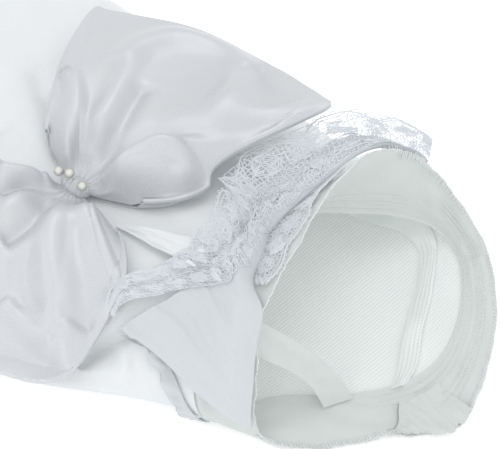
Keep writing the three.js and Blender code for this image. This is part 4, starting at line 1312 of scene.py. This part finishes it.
class Motifs:
    """Flat drawing of a floral net lace, in millimetres: u along its length and v from its sewn edge out."""

    REPEAT, ROW = 12.0, 8.8

    def __init__(self, length: float, width: float, seed: int) -> None:
        """Sets the strip's size and what it draws from.

        Args:
            length: millimetres along the strip.
            width: millimetres across it.
            seed: number that fixes its unevenness.
        """
        self.length, self.width = length, width
        self.draw = np.random.default_rng(seed)
        self.lines: list[tuple[Array, float]] = []

    def add(self, lines: Array, radius: float) -> None:
        """Keeps lines, threads by places by two, under one half thickness."""
        self.lines.append((np.asarray(lines, float), radius))

    def warp(self, flat: Array) -> Array:
        """Moves the drawing's places unevenly, as a worn and washed lace has them."""
        u, v = flat[..., 0], flat[..., 1]
        return np.stack([u + ripples(u, v, 71, 6, 0.28), v + ripples(u, v, 72, 6, 0.22)], -1)

    def net(self, cell: float = 2.1) -> None:
        """Ground of uneven six-sided cells."""
        rows, columns = int(self.width / (0.75 * cell)) + 1, int(self.length / cell) + 1
        row, column = np.mgrid[0:rows, 0:columns].astype(float)
        u = (column + 0.5 * (row % 2)) * cell + self.draw.uniform(-0.3, 0.3, row.shape)
        v = row * 0.75 * cell + self.draw.uniform(-0.25, 0.25, row.shape)
        nodes = np.stack([u, np.minimum(v, self.width)], -1)
        pairs = [(nodes[:, :-1], nodes[:, 1:])]
        for odd in (0, 1):
            low, high = nodes[odd:-1:2], nodes[odd + 1::2]
            count = min(len(low), len(high))
            low, high = low[:count], high[:count]
            if odd:
                pairs += [(low[:, :-1], high[:, 1:]), (low, high)]
            else:
                pairs += [(low, high), (low[:, 1:], high[:, :-1])]
        for start, stop in pairs:
            share = np.linspace(0, 1, 4)[:, None]
            start, stop = start.reshape(-1, 1, 2), stop.reshape(-1, 1, 2)
            keep = self.draw.uniform(size=len(start)) > 0.16
            self.add((start + (stop - start) * share)[keep], 0.13)

    def ring(self, middle: Array, radius: float, petals: int, deep: float, turn: float, thick: float) -> None:
        """One closed outline, round or with petals."""
        angle = np.linspace(0, 2 * np.pi, 8 * max(petals, 3) + 1)
        reach = radius * (1 - deep + deep * np.abs(np.sin(0.5 * petals * (angle - turn))))
        line = middle + np.stack([reach * np.cos(angle), reach * np.sin(angle)], -1)
        self.add(line[None], thick)

    def leaf(self, root: Array, way: float, long: float, wide: float) -> None:
        """A pointed leaf: outline, vein and close filling threads."""
        along = np.linspace(0, 1, 12)
        half = 0.5 * wide * np.sin(np.pi * along) ** 0.8
        bend = 0.12 * long * np.sin(np.pi * along)
        forward, side = np.array([np.cos(way), np.sin(way)]), np.array([-np.sin(way), np.cos(way)])

        def at(offset: Array) -> Array:
            return root + long * along[:, None] * forward + (offset + bend)[:, None] * side
        self.add([at(half), at(-half)], 0.17)
        self.add([at(0.5 * half), at(0 * half), at(-0.5 * half)], 0.11)

    def flower(self, middle: Array, radius: float, petals: int, turn: float) -> None:
        """A flower of filled petals round an open eye."""
        self.ring(middle, radius, petals, 0.42, turn, 0.18)
        self.ring(middle, 0.74 * radius, petals, 0.42, turn, 0.12)
        self.ring(middle, 0.26 * radius, 1, 0.0, 0, 0.19)
        angle = np.linspace(0, 2 * np.pi, 4 * petals, endpoint=False) + turn
        reach = np.linspace(0.26, 0.82, 4)[:, None] * radius
        spokes = middle + reach * np.stack([np.cos(angle), np.sin(angle)], -1)[:, None]
        self.add(spokes, 0.12)

    def compose(self) -> "Motifs":
        """Draws the whole strip: net, flowers, leaves, scalloped outer cord with picots."""
        self.net()
        count = max(1, round(self.length / self.REPEAT))
        step = self.length / count
        rows = max(1, round(self.width / self.ROW))
        high = self.width / rows
        for index, row in ((index, row) for index in range(count) for row in range(rows)):
            middle = np.array([(index + 0.5 + 0.5 * (row % 2)) * step, (row + 0.55) * high])
            size = 0.29 * min(high, self.ROW) * self.draw.uniform(0.9, 1.15)
            self.flower(middle, size, 6 if (index + row) % 2 else 5, self.draw.uniform(0, 2))
            for way, far in ((0.5, 1.5), (2.64, -1.5), (-0.6, 1.3), (3.7, -1.3)):
                root = middle + np.array([far * size, 0.0])
                self.leaf(root, way + self.draw.uniform(-0.35, 0.35), 0.4 * high, 0.14 * high)
            self.leaf(np.array([(index + 1) * step, (row + 0.1) * high]), 1.57 + self.draw.uniform(-0.4, 0.4),
                      0.4 * high, 0.17 * high)
        u = np.linspace(0, self.length, 14 * count + 1)
        wave = np.abs(np.sin(np.pi * u / step))
        for back, thick in ((0.0, 0.22), (0.75, 0.13)):
            edge = np.stack([u, self.width * (0.86 + 0.14 * wave) - back], -1)
            self.add(edge[None], thick)
        at = np.linspace(0, self.length, 9 * count)
        turn = np.linspace(0, np.pi, 6)
        rise = self.width * (0.86 + 0.14 * np.abs(np.sin(np.pi * at / step)))
        loops = np.stack([at[:, None] + 0.4 * np.cos(turn), rise[:, None] + 0.55 * np.sin(turn)], -1)
        self.add(loops, 0.12)
        return self


@dataclass
class LaceRun:
    """A run of the lace on a surface.

    Attributes:
        name: name of the piece.
        node: CAD node that it stands for.
        length: millimetres along it.
        width: millimetres across it.
        place: place at shares along and across it and a lift in millimetres.
        rests_on: what it lies on.
        seed: number that fixes its unevenness.
        flat: width and length of its cut, in metres; not used.
        area: area of its scalloped cut, in square metres; not used.
        crumple: millimetres of height of its crumples.
    """

    kit: Kit
    name: str
    node: str
    length: float
    width: float
    place: Callable[[Array, Array, Array], Array]
    rests_on: tuple[str, ...]
    seed: int
    flat: tuple[float, float]
    area: float
    crumple: float = 0.5

    def lift(self, u: Array, v: Array) -> Array:
        """Height of the lace's crumples over its bed."""
        large = ripples(u, v, self.seed + 5, 9, 0.8 * self.crumple)
        small = ripples(u, v, self.seed + 6, 4, 0.2 * self.crumple)
        return np.maximum(0.15, 0.5 + (large + small) * smooth(0, 2.5, v))

    def surface(self, flat: Array, over: float) -> Array:
        """Places of flat coordinates in millimetres, at a height over the ground net."""
        u, v = np.clip(flat[..., 0], 0, self.length), flat[..., 1]
        return self.place(u / self.length, v / self.width, self.lift(u, v) + over)

    def build(self) -> bpy.types.Object:
        """Makes the ground net and the threads on it."""
        drawing = Motifs(self.length, self.width, self.seed).compose()
        threads = Threads(self.name + "_threads")
        for lines, radius in drawing.lines:
            threads.lay(self.surface(drawing.warp(lines), 0.12), radius)
        worked = self.kit.finish_piece(self.kit.thread(threads, Finish.LACE), "lace")
        rows, columns = max(12, int(self.length / 0.7)), 14
        u, v = np.linspace(0, self.length, rows)[:, None], np.linspace(0, 0.93 * self.width, columns)[None, :]
        u, v = np.broadcast_arrays(u, v)
        flat = np.stack([u, v], -1)
        maker = MeshMaker(self.name)
        maker.grid(self.surface(drawing.warp(flat), 0.0), flat)
        ground = self.kit.cloth(maker, (Finish.TULLE,))
        self.kit.finish_piece(ground, "lace", self.node)
        return (ground, list(self.rests_on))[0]


# Millimetres that the lace reaches back over the frill from the frill's free edge
LACE_OVERLAP = 21.5


def lace_runs(kit: Kit) -> list[LaceRun]:
    """The three runs of lace, as the part's source lays them."""
    zero = np.zeros(1)

    def edging(along: Array, across: Array, lift: Array) -> Array:
        back = LACE_OVERLAP * smooth(0.2, 0.5, along) * smooth(1.0, 0.85, along) - Flounce.corner(along)
        out = mix(-back, Shell.LACE_WIDTH, across)
        share = 1 + np.minimum(out, 0) / Shell.FRILL_DEPTH
        fuller = 1 + 0.9 * bump(along - 0.58, 0.15) + 1.1 * bump(along - 0.08, 0.14)
        stand = 2.0 * bump(along - 0.58, 0.17) * smooth(0.4, 1, across)
        over = Flounce.wall + Flounce.rise(along, share) * smooth(4, -1, out) + stand
        return Shell.frill(along, share, np.maximum(0.001, out / Shell.LACE_WIDTH * fuller), over + lift)

    def fold(along: Array, across: Array, lift: Array) -> Array:
        place = mix(0.48, 0.37, along) + 0.07 * (across - 0.5)
        return Shell.frill(place, mix(0.12, 1.0, along), zero, 1.6 + lift)

    def mouth(along: Array, across: Array, lift: Array) -> Array:
        turn = mix(140, 92, along)
        run = Shell.band_length(turn) - 0.75 - 9.0 * (1 - across) * smooth(0, 0.3, along + 0.15)
        return Shell.lifted(turn, run, 0.4 + lift)
    return [
        LaceRun(kit, "lace_edging_net", "lace_edging", 108, 19.5, edging, ("flounce_sheer", "glove_tube"), 41,
                (0.022, 0.105), 0.0021),
        LaceRun(kit, "lace_fold_net", "lace_edging_fold", 13, 6.5, fold, ("flounce_sheer",), 42,
                (0.01, 0.0125), 0.000075, 0.5),
        LaceRun(kit, "lace_mouth_net", "lace_edging_mouth", 34, 9.0, mouth, ("mouth_band_sheer",), 43,
                (0.01, 0.034), 0.00033, 0.4),
    ]


@dataclass
class Loop:
    """One loop of the bow: a satin ribbon that goes out from the knot below and comes back above.

    Attributes:
        name: name of the piece.
        node: CAD node that it stands for.
        wing: plan and heights of the loop.
        folds: what is drawn on its upper side.
        seed: number that fixes its small folds.
    """

    kit: Kit
    name: str
    node: str
    wing: Wing
    folds: Sequence[Fold | Pillow]
    seed: int
    across: int = 170
    out: int = 100
    wall: float = 0.45

    FLAT = (0.075, 0.13)
    # Rounding of the edges per millimetre, thickness there, and how far the ribbon goes in under the knot
    EDGE, THIN, TUCK = 0.5, 0.9, 1.8
    # Degrees over which the open sides round off
    SIDE_TURN = 15.0

    def sides(self, angle: Array, share: Array) -> tuple[Array, Array]:
        """Both layers of the ribbon: drawn folds above, rounded edges, and fine gathers at the knot.

        Args:
            angle: degrees of the ray from the knot.
            share: shares of the way out to the outer fold.

        Returns:
            Places of the upper and of the lower layer.
        """
        x, y, lower, upper = self.wing.place(angle, share)
        first, last = self.wing.rows.ends
        drawn = sum(fold.height(x, y) for fold in self.folds)
        gathers = 0.16 * np.exp(-np.maximum(share, 0) / 0.12) * np.sin(angle * 0.33 + self.seed)
        fine = ripples(x, y, self.seed, 17, 0.16) * smooth(0.05, 0.4, share)
        out = self.EDGE * (1 - np.clip(share, 0, 1)) * self.wing.REACH
        aside = np.minimum(angle - first, last - angle) / self.SIDE_TURN
        rounded = np.sqrt(1 - (1 - np.clip(np.minimum(out, aside), 0, 1)) ** 2)
        sides = (angle - first) / (last - first)
        settled = smooth(0, 0.14, sides) * smooth(0, 0.14, 1 - sides)
        lower = mix(Shell.top(x, y) + self.wing.LAY_GAP, lower, settled)
        closed = smooth(0.72, 1.0, share)
        lower = mix(lower, upper - self.THIN, closed**2)
        thick = np.maximum(upper + (drawn + gathers + fine) * smooth(1.02, 0.9, share) - lower, self.THIN)
        pinched = mix(0.45, 1.0, smooth(-2.0, 9.0, share * self.wing.REACH))
        above = lower + self.THIN + (thick - self.THIN) * rounded * pinched
        return np.stack([x, y, above], -1), np.stack([x, y, lower], -1)

    def build(self) -> bpy.types.Object:
        """Makes the loop."""
        first, last = self.wing.rows.ends
        angle = np.linspace(first, last, self.across)[:, None]
        share = np.sin(0.5 * np.pi * np.linspace(0, 1, self.out)[None, :] ** 0.85)
        reach = self.wing.REACH * self.wing.rows.read("reach", angle) - 0.5 * self.wing.KNOT_WIDTH
        angle, share = np.broadcast_arrays(angle, mix(-self.TUCK / reach, 1.0, share))
        above, below = self.sides(angle, share)
        ribbon = np.concatenate([above, below[:, ::-1]], 1)
        normals = grid_normals(ribbon, False)
        inner = ribbon - self.wall * normals
        steps = np.linalg.norm(np.diff(ribbon, axis=1), axis=-1)
        run = np.concatenate([np.zeros((self.across, 1)), np.cumsum(steps, 1)], 1)
        uv = np.stack([run, np.broadcast_to((angle[:, :1] - first) * 0.55, run.shape)], -1)
        maker = MeshMaker(self.name)
        maker.layers(ribbon, inner, uv)
        piece = self.kit.cloth(maker, (Finish.BOW,))
        self.kit.finish_piece(piece, "bow_satin", self.node)
        return piece


RIGHT_FOLDS = (
    Fold((
        (-3.1, -1.1), (-4.0, 3.4), (-4.9, 8.4), (-6.4, 13.6), (-8.6, 19.4), (-11.7, 25.3), (-13.2, 31.7),
        (-12.0, 37.5), (-8.8, 43.1), (-3.4, 47.1), (1.9, 49.9), (7.9, 50.1), (11.7, 47.7), (15.3, 42.5),
        (17.6, 37.0), (19.1, 31.4), (19.7, 26.2), (19.6, 22.0),
    ), 2.9, 4.4, 0.1),
    Pillow((
        (-4.1, 18.4), (-8.5, 27.5), (-7.5, 35.2), (-1.1, 42.1), (6.4, 45.4), (12.0, 41.4), (16.0, 33.0),
        (16.3, 24.9), (13.1, 18.5), (7.1, 13.7),
    ), -1.3, 8.0),
    Fold(((-4.1, 0.2), (-6.7, 4.2), (-8.2, 9.4), (-9.6, 15.2), (-12.1, 21.4), (-14.8, 27.0)), -1.9, 3.3),
    Fold(((0.2, 0.2), (0.9, 6.3), (0.2, 11.8), (-1.4, 18.1), (-3.0, 24.0)), -2.0, 3.0),
    Fold((
        (1.5, -1.4), (5.9, 5.0), (9.8, 10.6), (14.7, 14.6), (21.4, 18.5), (26.7, 24.0), (31.3, 30.7),
        (34.5, 36.1),
    ), -2.0, 3.2, 0.2),
    Fold(((16.2, 48.9), (25.1, 42.8), (31.2, 37.4)), -2.0, 6.4),
    Pillow((
        (1.1, -2.9), (4.5, 2.6), (9.4, 7.2), (13.0, 10.7), (18.8, 12.4), (23.5, 12.8), (26.8, 12.2),
        (27.4, 9.8), (26.0, 6.6), (21.3, 2.3), (13.6, -2.3), (4.5, -3.6),
    ), 2.6, 3.0),
    Fold(((3.0, -1.0), (8.5, 4.0), (13.5, 7.8), (19.0, 9.6), (23.5, 8.6), (22.3, 4.5)), 2.0, 2.4),
    Fold(((5.4, -4.6), (14.0, -2.8), (21.6, 2.0), (26.3, 6.3), (27.7, 10.3), (27.0, 13.4)), -1.1, 2.4),
    Fold(((19.3, -1.4), (28.4, 5.7), (29.3, 13.1), (32.6, 22.8), (36.7, 33.9), (38.7, 42.3)), 1.5, 2.5),
    Fold((
        (-16.0, 0.6), (-21.5, 6.8), (-24.7, 12.4), (-23.6, 15.2), (-20.2, 14.6), (-15.1, 10.8),
        (-10.2, 5.7), (-7.4, 2.1), (-5.2, -0.2),
    ), 1.9, 2.0),
    Pillow((
        (-13.6, -0.4), (-19.6, 5.7), (-21.8, 10.6), (-20.4, 12.4), (-16.2, 9.8), (-11.1, 4.6),
        (-7.9, 0.5), (-6.8, -2.8), (-8.9, -3.4),
    ), -1.5, 3.0),
)
LEFT_FOLDS = (
    Fold((
        (2.2, -11.9), (4.3, -18.0), (8.0, -25.0), (11.7, -30.3), (16.2, -34.3), (20.2, -38.4),
        (24.0, -42.2), (26.2, -44.5), (26.8, -48.3),
    ), 3.7, 5.1),
    Pillow((
        (2.4, -37.3), (3.8, -30.1), (8.0, -29.8), (13.9, -35.6), (19.0, -40.7), (15.4, -43.1),
        (8.4, -42.7),
    ), -1.6, 4.5),
    Fold(((9.0, -17.6), (15.9, -24.1), (21.3, -29.2), (25.1, -34.4), (27.6, -40.2)), -2.3, 5.8),
    Fold(((7.0, -44.8), (11.2, -45.3), (16.2, -45.9), (21.1, -45.8), (25.2, -45.2)), 2.0, 2.0),
    Pillow((
        (5.9, -9.7), (14.0, -15.0), (19.2, -18.0), (22.8, -20.1), (26.2, -21.6), (28.7, -23.9),
        (28.8, -25.6), (26.5, -25.8), (23.9, -24.4), (19.6, -21.7), (15.5, -18.4), (10.5, -14.3),
    ), 1.7, 1.2),
    Fold(((-17.2, -16.9), (-11.9, -15.1), (-8.2, -10.3)), -1.9, 1.8),
    Fold(((-14.6, -19.6), (-10.2, -16.3), (-6.6, -9.8)), 1.9, 2.0),
    Fold(((-9.6, -25.3), (-9.5, -21.0), (-7.9, -16.2), (-6.0, -11.2)), -2.0, 2.0),
    Fold(((-7.2, -28.2), (-5.8, -25.2), (-6.7, -19.3), (-6.5, -15.0), (-3.8, -10.8)), 2.0, 2.9),
    Fold(((-2.1, -33.9), (-0.7, -30.9), (0.8, -27.3), (1.4, -23.6), (-1.1, -15.1)), -2.8, 2.9),
    Fold(((30.4, -35.7), (30.3, -30.7), (29.9, -27.0)), -1.4, 2.6),
)


def loops(kit: Kit) -> list[Loop]:
    """The bow's two loops."""
    return [
        Loop(kit, "bow_loop_right", "bow_wing_right", Wing(Wing.RIGHT), RIGHT_FOLDS, 3),
        Loop(kit, "bow_loop_left", "bow_wing_left", Wing(Wing.LEFT), LEFT_FOLDS, 8),
    ]


@dataclass
class Knot:
    """The bow's drawn-in middle, its satin tab and its pearls."""

    kit: Kit
    PEARLS = ((-1.43, -0.39, 0.86), (-0.4, -0.17, 1.0), (1.28, -0.48, 0.9))
    DIAMETER = 3.0
    # Share of the solid bead that the drawn one fills, and shares of the knot that the wrap fills
    BEAD_FILL, WRAP_FILL = 0.88, (0.78, 0.8)
    # The tab's start and length along x, its middle's start and drift along y, and its width at the raw end
    TAB_START, TAB_LONG, TAB_Y, TAB_DRIFT, TAB_WIDE = 16.0, 25.0, -10.5, 2.4, 9.0

    def rest(self) -> float:
        """Height that the knot stands on."""
        return float(Shell.top(np.array(0.0), np.array(Wing.KNOT_Y))) + Shell.LAY_GAP

    def build(self) -> bpy.types.Object:
        """Makes the wrap: pleats that run round a waisted roll and sink at its ends."""
        around, along = 96, 56
        turn = (2 * np.pi * np.arange(around) / around)[:, None]
        run = np.linspace(-1, 1, along)[None, :]
        turn, run = np.broadcast_arrays(turn, run)
        full = np.sqrt(np.clip(1 - np.abs(run) ** 2.2, 0, 1))
        pleats = 1 + 0.07 * np.sin(9 * run * 2.2 + 0.8 * np.sin(2 * turn)) * full
        pleats = pleats + 0.05 * np.sin(5 * turn + 3 * run)
        wide, long = self.WRAP_FILL
        y = Wing.KNOT_Y - 0.5 * wide * Wing.KNOT_WIDTH * full * pleats * np.cos(turn)
        half = 0.5 * Wing.KNOT_HEIGHT
        z = self.rest() + half + half * 0.97 * full * pleats * np.sin(turn)
        x = 0.5 * long * Wing.KNOT_LENGTH * run + 0 * turn
        grid = np.stack([x, y, np.maximum(z, self.rest())], -1)
        girth = np.arange(around + 1)[:, None] * 20 / around
        uv = np.stack(np.broadcast_arrays(girth, np.linspace(0, 11, along)[None, :]), -1)
        maker = MeshMaker("bow_knot_wrap")
        numbers = maker.grid(grid, uv, loop=True)
        maker.close_ends(numbers)
        return self.kit.finish_piece(self.kit.cloth(maker, (Finish.BOW,)), "bow_satin", "bow_knot")

    def raw_end(self, side: Array) -> Array:
        """Uneven length of the tab at shares across it, as a share of its plain one."""
        return 1 + 0.04 * np.sin(side * 5) + 0.05 * np.sin(side * 13 + 1)

    def tab(self) -> bpy.types.Object:
        """The satin tab, with a wavy raw end."""
        rows, columns = 90, 40
        share, side = np.broadcast_arrays(np.linspace(0, 1, rows)[:, None],
                                          np.linspace(-1, 1, columns)[None, :])
        x = self.TAB_START + self.TAB_LONG * share * self.raw_end(side)
        width = self.TAB_WIDE * mix(0.1, 1.0, share)
        y = self.TAB_Y + self.TAB_DRIFT * share + 0.5 * width * side
        wave = 0.5 * np.sin(2.2 * side + 3 * share) + 0.3 * np.sin(5 * side + 7 * share)
        wave = wave + ripples(x, y, 61, 6, 0.16)
        z = Shell.top(x, y) + 1.1 + smooth(0, 0.3, share) * (0.7 + wave * 0.7) + 1.8 * share
        upper = np.stack([x, y, z], -1)
        uv = np.stack([x, y], -1)
        maker = MeshMaker("bow_tab")
        maker.layers(upper, upper - np.array([0, 0, 0.4]), uv)
        piece = self.kit.cloth(maker, (Finish.BODY,))
        self.kit.finish_piece(piece, "bow_satin", "bow_tail")
        return piece

    def fringe(self) -> bpy.types.Object:
        """Loose threads at the tab's raw end."""
        draw = np.random.default_rng(77)
        threads = Threads("bow_tab_fraying")
        count = 90
        side = draw.uniform(-1, 1, count)
        x = self.TAB_START + self.TAB_LONG * self.raw_end(side)
        y = self.TAB_Y + self.TAB_DRIFT + 0.5 * self.TAB_WIDE * side
        reach = draw.uniform(0.5, 2.4, count)
        way = draw.uniform(-0.7, 0.7, count)
        at = np.linspace(0, 1, 6)
        px = x[:, None] - 0.4 + reach[:, None] * at * np.cos(way)[:, None]
        curl = 0.25 * np.sin(at * 3 + side[:, None] * 9)
        py = y[:, None] + reach[:, None] * at * np.sin(way)[:, None] + curl
        pz = Shell.top(px, py) + 2.0 + 1.9 * (1 - at) + 0.3 * np.sin(4 * at + side[:, None] * 7)
        threads.lay(np.stack([px, py, pz], -1), draw.uniform(0.06, 0.12, count))
        return self.kit.finish_piece(self.kit.thread(threads, Finish.LACE), "bow_satin")

    def pearls(self) -> list[bpy.types.Object]:
        """Makes the three beads, slightly out of round, with their thread holes."""
        made = []
        around, along = 40, 24
        for index, (x, y, high) in enumerate(self.PEARLS, start=1):
            middle = np.array([self.DIAMETER * x, Wing.KNOT_Y + self.DIAMETER * y,
                               self.rest() + Wing.KNOT_HEIGHT * high + Shell.LAY_GAP + 0.5 * self.DIAMETER])
            turn = (2 * np.pi * np.arange(around) / around)[:, None]
            rise = np.linspace(-0.5 * np.pi + 0.12, 0.5 * np.pi - 0.12, along)[None, :]
            turn, rise = np.broadcast_arrays(turn, rise)
            out = 0.5 * self.BEAD_FILL * self.DIAMETER * (1 + 0.012 * np.sin(2 * turn + index) * np.cos(rise))
            out = out * (1 - 0.16 * smooth(1.25, 1.45, np.abs(rise)))
            grid = middle + np.stack([out * np.sin(rise), out * np.cos(rise) * np.cos(turn),
                                      out * np.cos(rise) * np.sin(turn)], -1)
            uv = np.stack(np.broadcast_arrays(np.arange(around + 1)[:, None] * 0.2,
                                              np.linspace(0, 4, along)[None, :]), -1)
            maker = MeshMaker(f"pearl_bead_{index}")
            numbers = maker.grid(grid, uv, loop=True)
            maker.close_ends(numbers)
            bead = self.kit.cloth(maker, (Finish.PEARL,))
            made.append(self.kit.finish_piece(bead, "pearl", f"pearl_{index}"))
        return made


@dataclass
class Studio:
    """Pale floor, soft lights and the camera at the photograph's angle."""

    shift: Array

    AZIMUTH, ELEVATION = math.radians(38), math.radians(52)
    EYE_MM = (230.19, -230.15, 413.02)
    LENS_MM = 141.18
    FLOOR_M, FLOOR_Z_M = 4.0, -0.0004
    SKY, FLOOR_GLOW = 1.04, 0.22

    def axes(self) -> tuple[Array, Array, Array]:
        """Right, up and back of the camera."""
        a, e = self.AZIMUTH, self.ELEVATION
        back = np.array([math.sin(a) * math.cos(e), -math.cos(a) * math.cos(e), math.sin(e)])
        right = np.array([math.cos(a), math.sin(a), 0.0])
        return right, np.cross(back, right), back

    def camera(self) -> None:
        """Makes the camera."""
        right, up, back = self.axes()
        data = bpy.data.cameras.new("camera")
        data.lens, data.sensor_width = self.LENS_MM, 36.0
        data.clip_start, data.clip_end = 0.01, 20.0
        eye = bpy.data.objects.new("camera", data)
        turn = np.eye(4)
        turn[:3, :3] = np.stack([right, up, back], 1)
        turn[:3, 3] = (np.array(self.EYE_MM) + self.shift) * MM
        eye.matrix_world = Matrix(turn.tolist())
        bpy.context.collection.objects.link(eye)
        bpy.context.scene.camera = eye

    def lamp(self, name: str, way: tuple[float, float, float], far: float, size: float, watts: float) -> None:
        """Makes a square soft light that looks at the glove.

        Args:
            name: name of the light.
            way: where it stands, as shares of the camera's right, up and back.
            far: metres from the glove.
            size: side of the square in metres.
            watts: its power.
        """
        towards = unit(sum(share * axis for share, axis in zip(way, self.axes())))
        data = bpy.data.lights.new(name, "AREA")
        data.shape, data.size, data.energy = "SQUARE", size, watts
        light = bpy.data.objects.new(name, data)
        light.location = Vector((towards * far).tolist())
        light.rotation_mode = "QUATERNION"
        light.rotation_quaternion = Vector((-towards).tolist()).to_track_quat("-Z", "Y")
        bpy.context.collection.objects.link(light)

    def floor(self) -> None:
        """Makes the floor: matt white board with a trace of paper grain."""
        half = 0.5 * self.FLOOR_M
        mesh = bpy.data.meshes.new("floor")
        around = ((-half, -half), (half, -half), (half, half), (-half, half))
        mesh.from_pydata([(x, y, self.FLOOR_Z_M) for x, y in around], [], [(0, 1, 2, 3)])
        board = bpy.data.materials.new("white_paper_board")
        board.use_nodes = True
        tree = board.node_tree
        tree.nodes.clear()
        place = add_node(tree, "ShaderNodeTexCoord").outputs["Object"]
        grain = add_node(tree, "ShaderNodeTexNoise", {"Vector": place, "Scale": 400.0})
        tone = add_node(tree, "ShaderNodeMix",
                        {0: grain.outputs["Fac"], 6: linear("#FBFBFB"), 7: linear("#F8F8F8")},
                        data_type="RGBA")
        surface = add_node(tree, "ShaderNodeBsdfPrincipled", {
            "Base Color": tone.outputs[2], "Roughness": 0.9, "Emission Color": tone.outputs[2]})
        surface.inputs["Specular IOR Level"].default_value = 0.1
        surface.inputs["Emission Strength"].default_value = self.FLOOR_GLOW
        add_node(tree, "ShaderNodeOutputMaterial", {"Surface": surface.outputs[0]})
        mesh.materials.append(board)
        piece = bpy.data.objects.new("floor", mesh)
        bpy.context.collection.objects.link(piece)
        piece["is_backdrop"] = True

    def build(self) -> None:
        """Makes floor, world and lights."""
        self.floor()
        world = bpy.data.worlds.new("studio")
        world.use_nodes = True
        world.node_tree.nodes["Background"].inputs[0].default_value = (0.985, 0.99, 1.0, 1.0)
        world.node_tree.nodes["Background"].inputs[1].default_value = self.SKY
        bpy.context.scene.world = world
        self.lamp("key_softbox", (0.1, 0.75, 0.6), 1.3, 0.6, 2.2)
        self.lamp("side_softbox", (-0.8, 0.3, 0.6), 1.3, 0.7, 1.2)
        self.lamp("front_softbox", (-0.35, -0.4, 0.85), 1.3, 0.5, 1.3)
        self.lamp("mouth_softbox", (0.8, -0.3, 0.6), 1.2, 0.5, 0.7)
        bpy.context.scene.view_settings.view_transform = "Standard"


def corners() -> list[list[float]]:
    """Lowest and highest corner of what is shown, in metres."""
    return [list(corner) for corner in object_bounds()]


def main() -> None:
    """Builds the glove's pieces in order and reports each."""
    logging.basicConfig(level=logging.INFO, format="%(name)s %(message)s", stream=sys.stdout)
    cad_box = corners()
    kit = Kit()
    studio = Studio(kit.shift)
    studio.camera()
    body = Body(kit)
    body.build()
    body.hem()
    body.facing()
    body.allowance()
    band = Band(kit)
    band.build()
    band.seams()
    band.scraps()
    band.rim()
    Strap(kit).build()
    Flounce(kit).build()
    for run in lace_runs(kit):
        run.build()
    for loop in loops(kit):
        loop.build()
    knot = Knot(kit)
    knot.build()
    knot.tab()
    knot.fringe()
    knot.pearls()
    studio.build()
    json.dumps({"cad": cad_box, "visual": corners()})


if __name__ == "__main__":
    main()
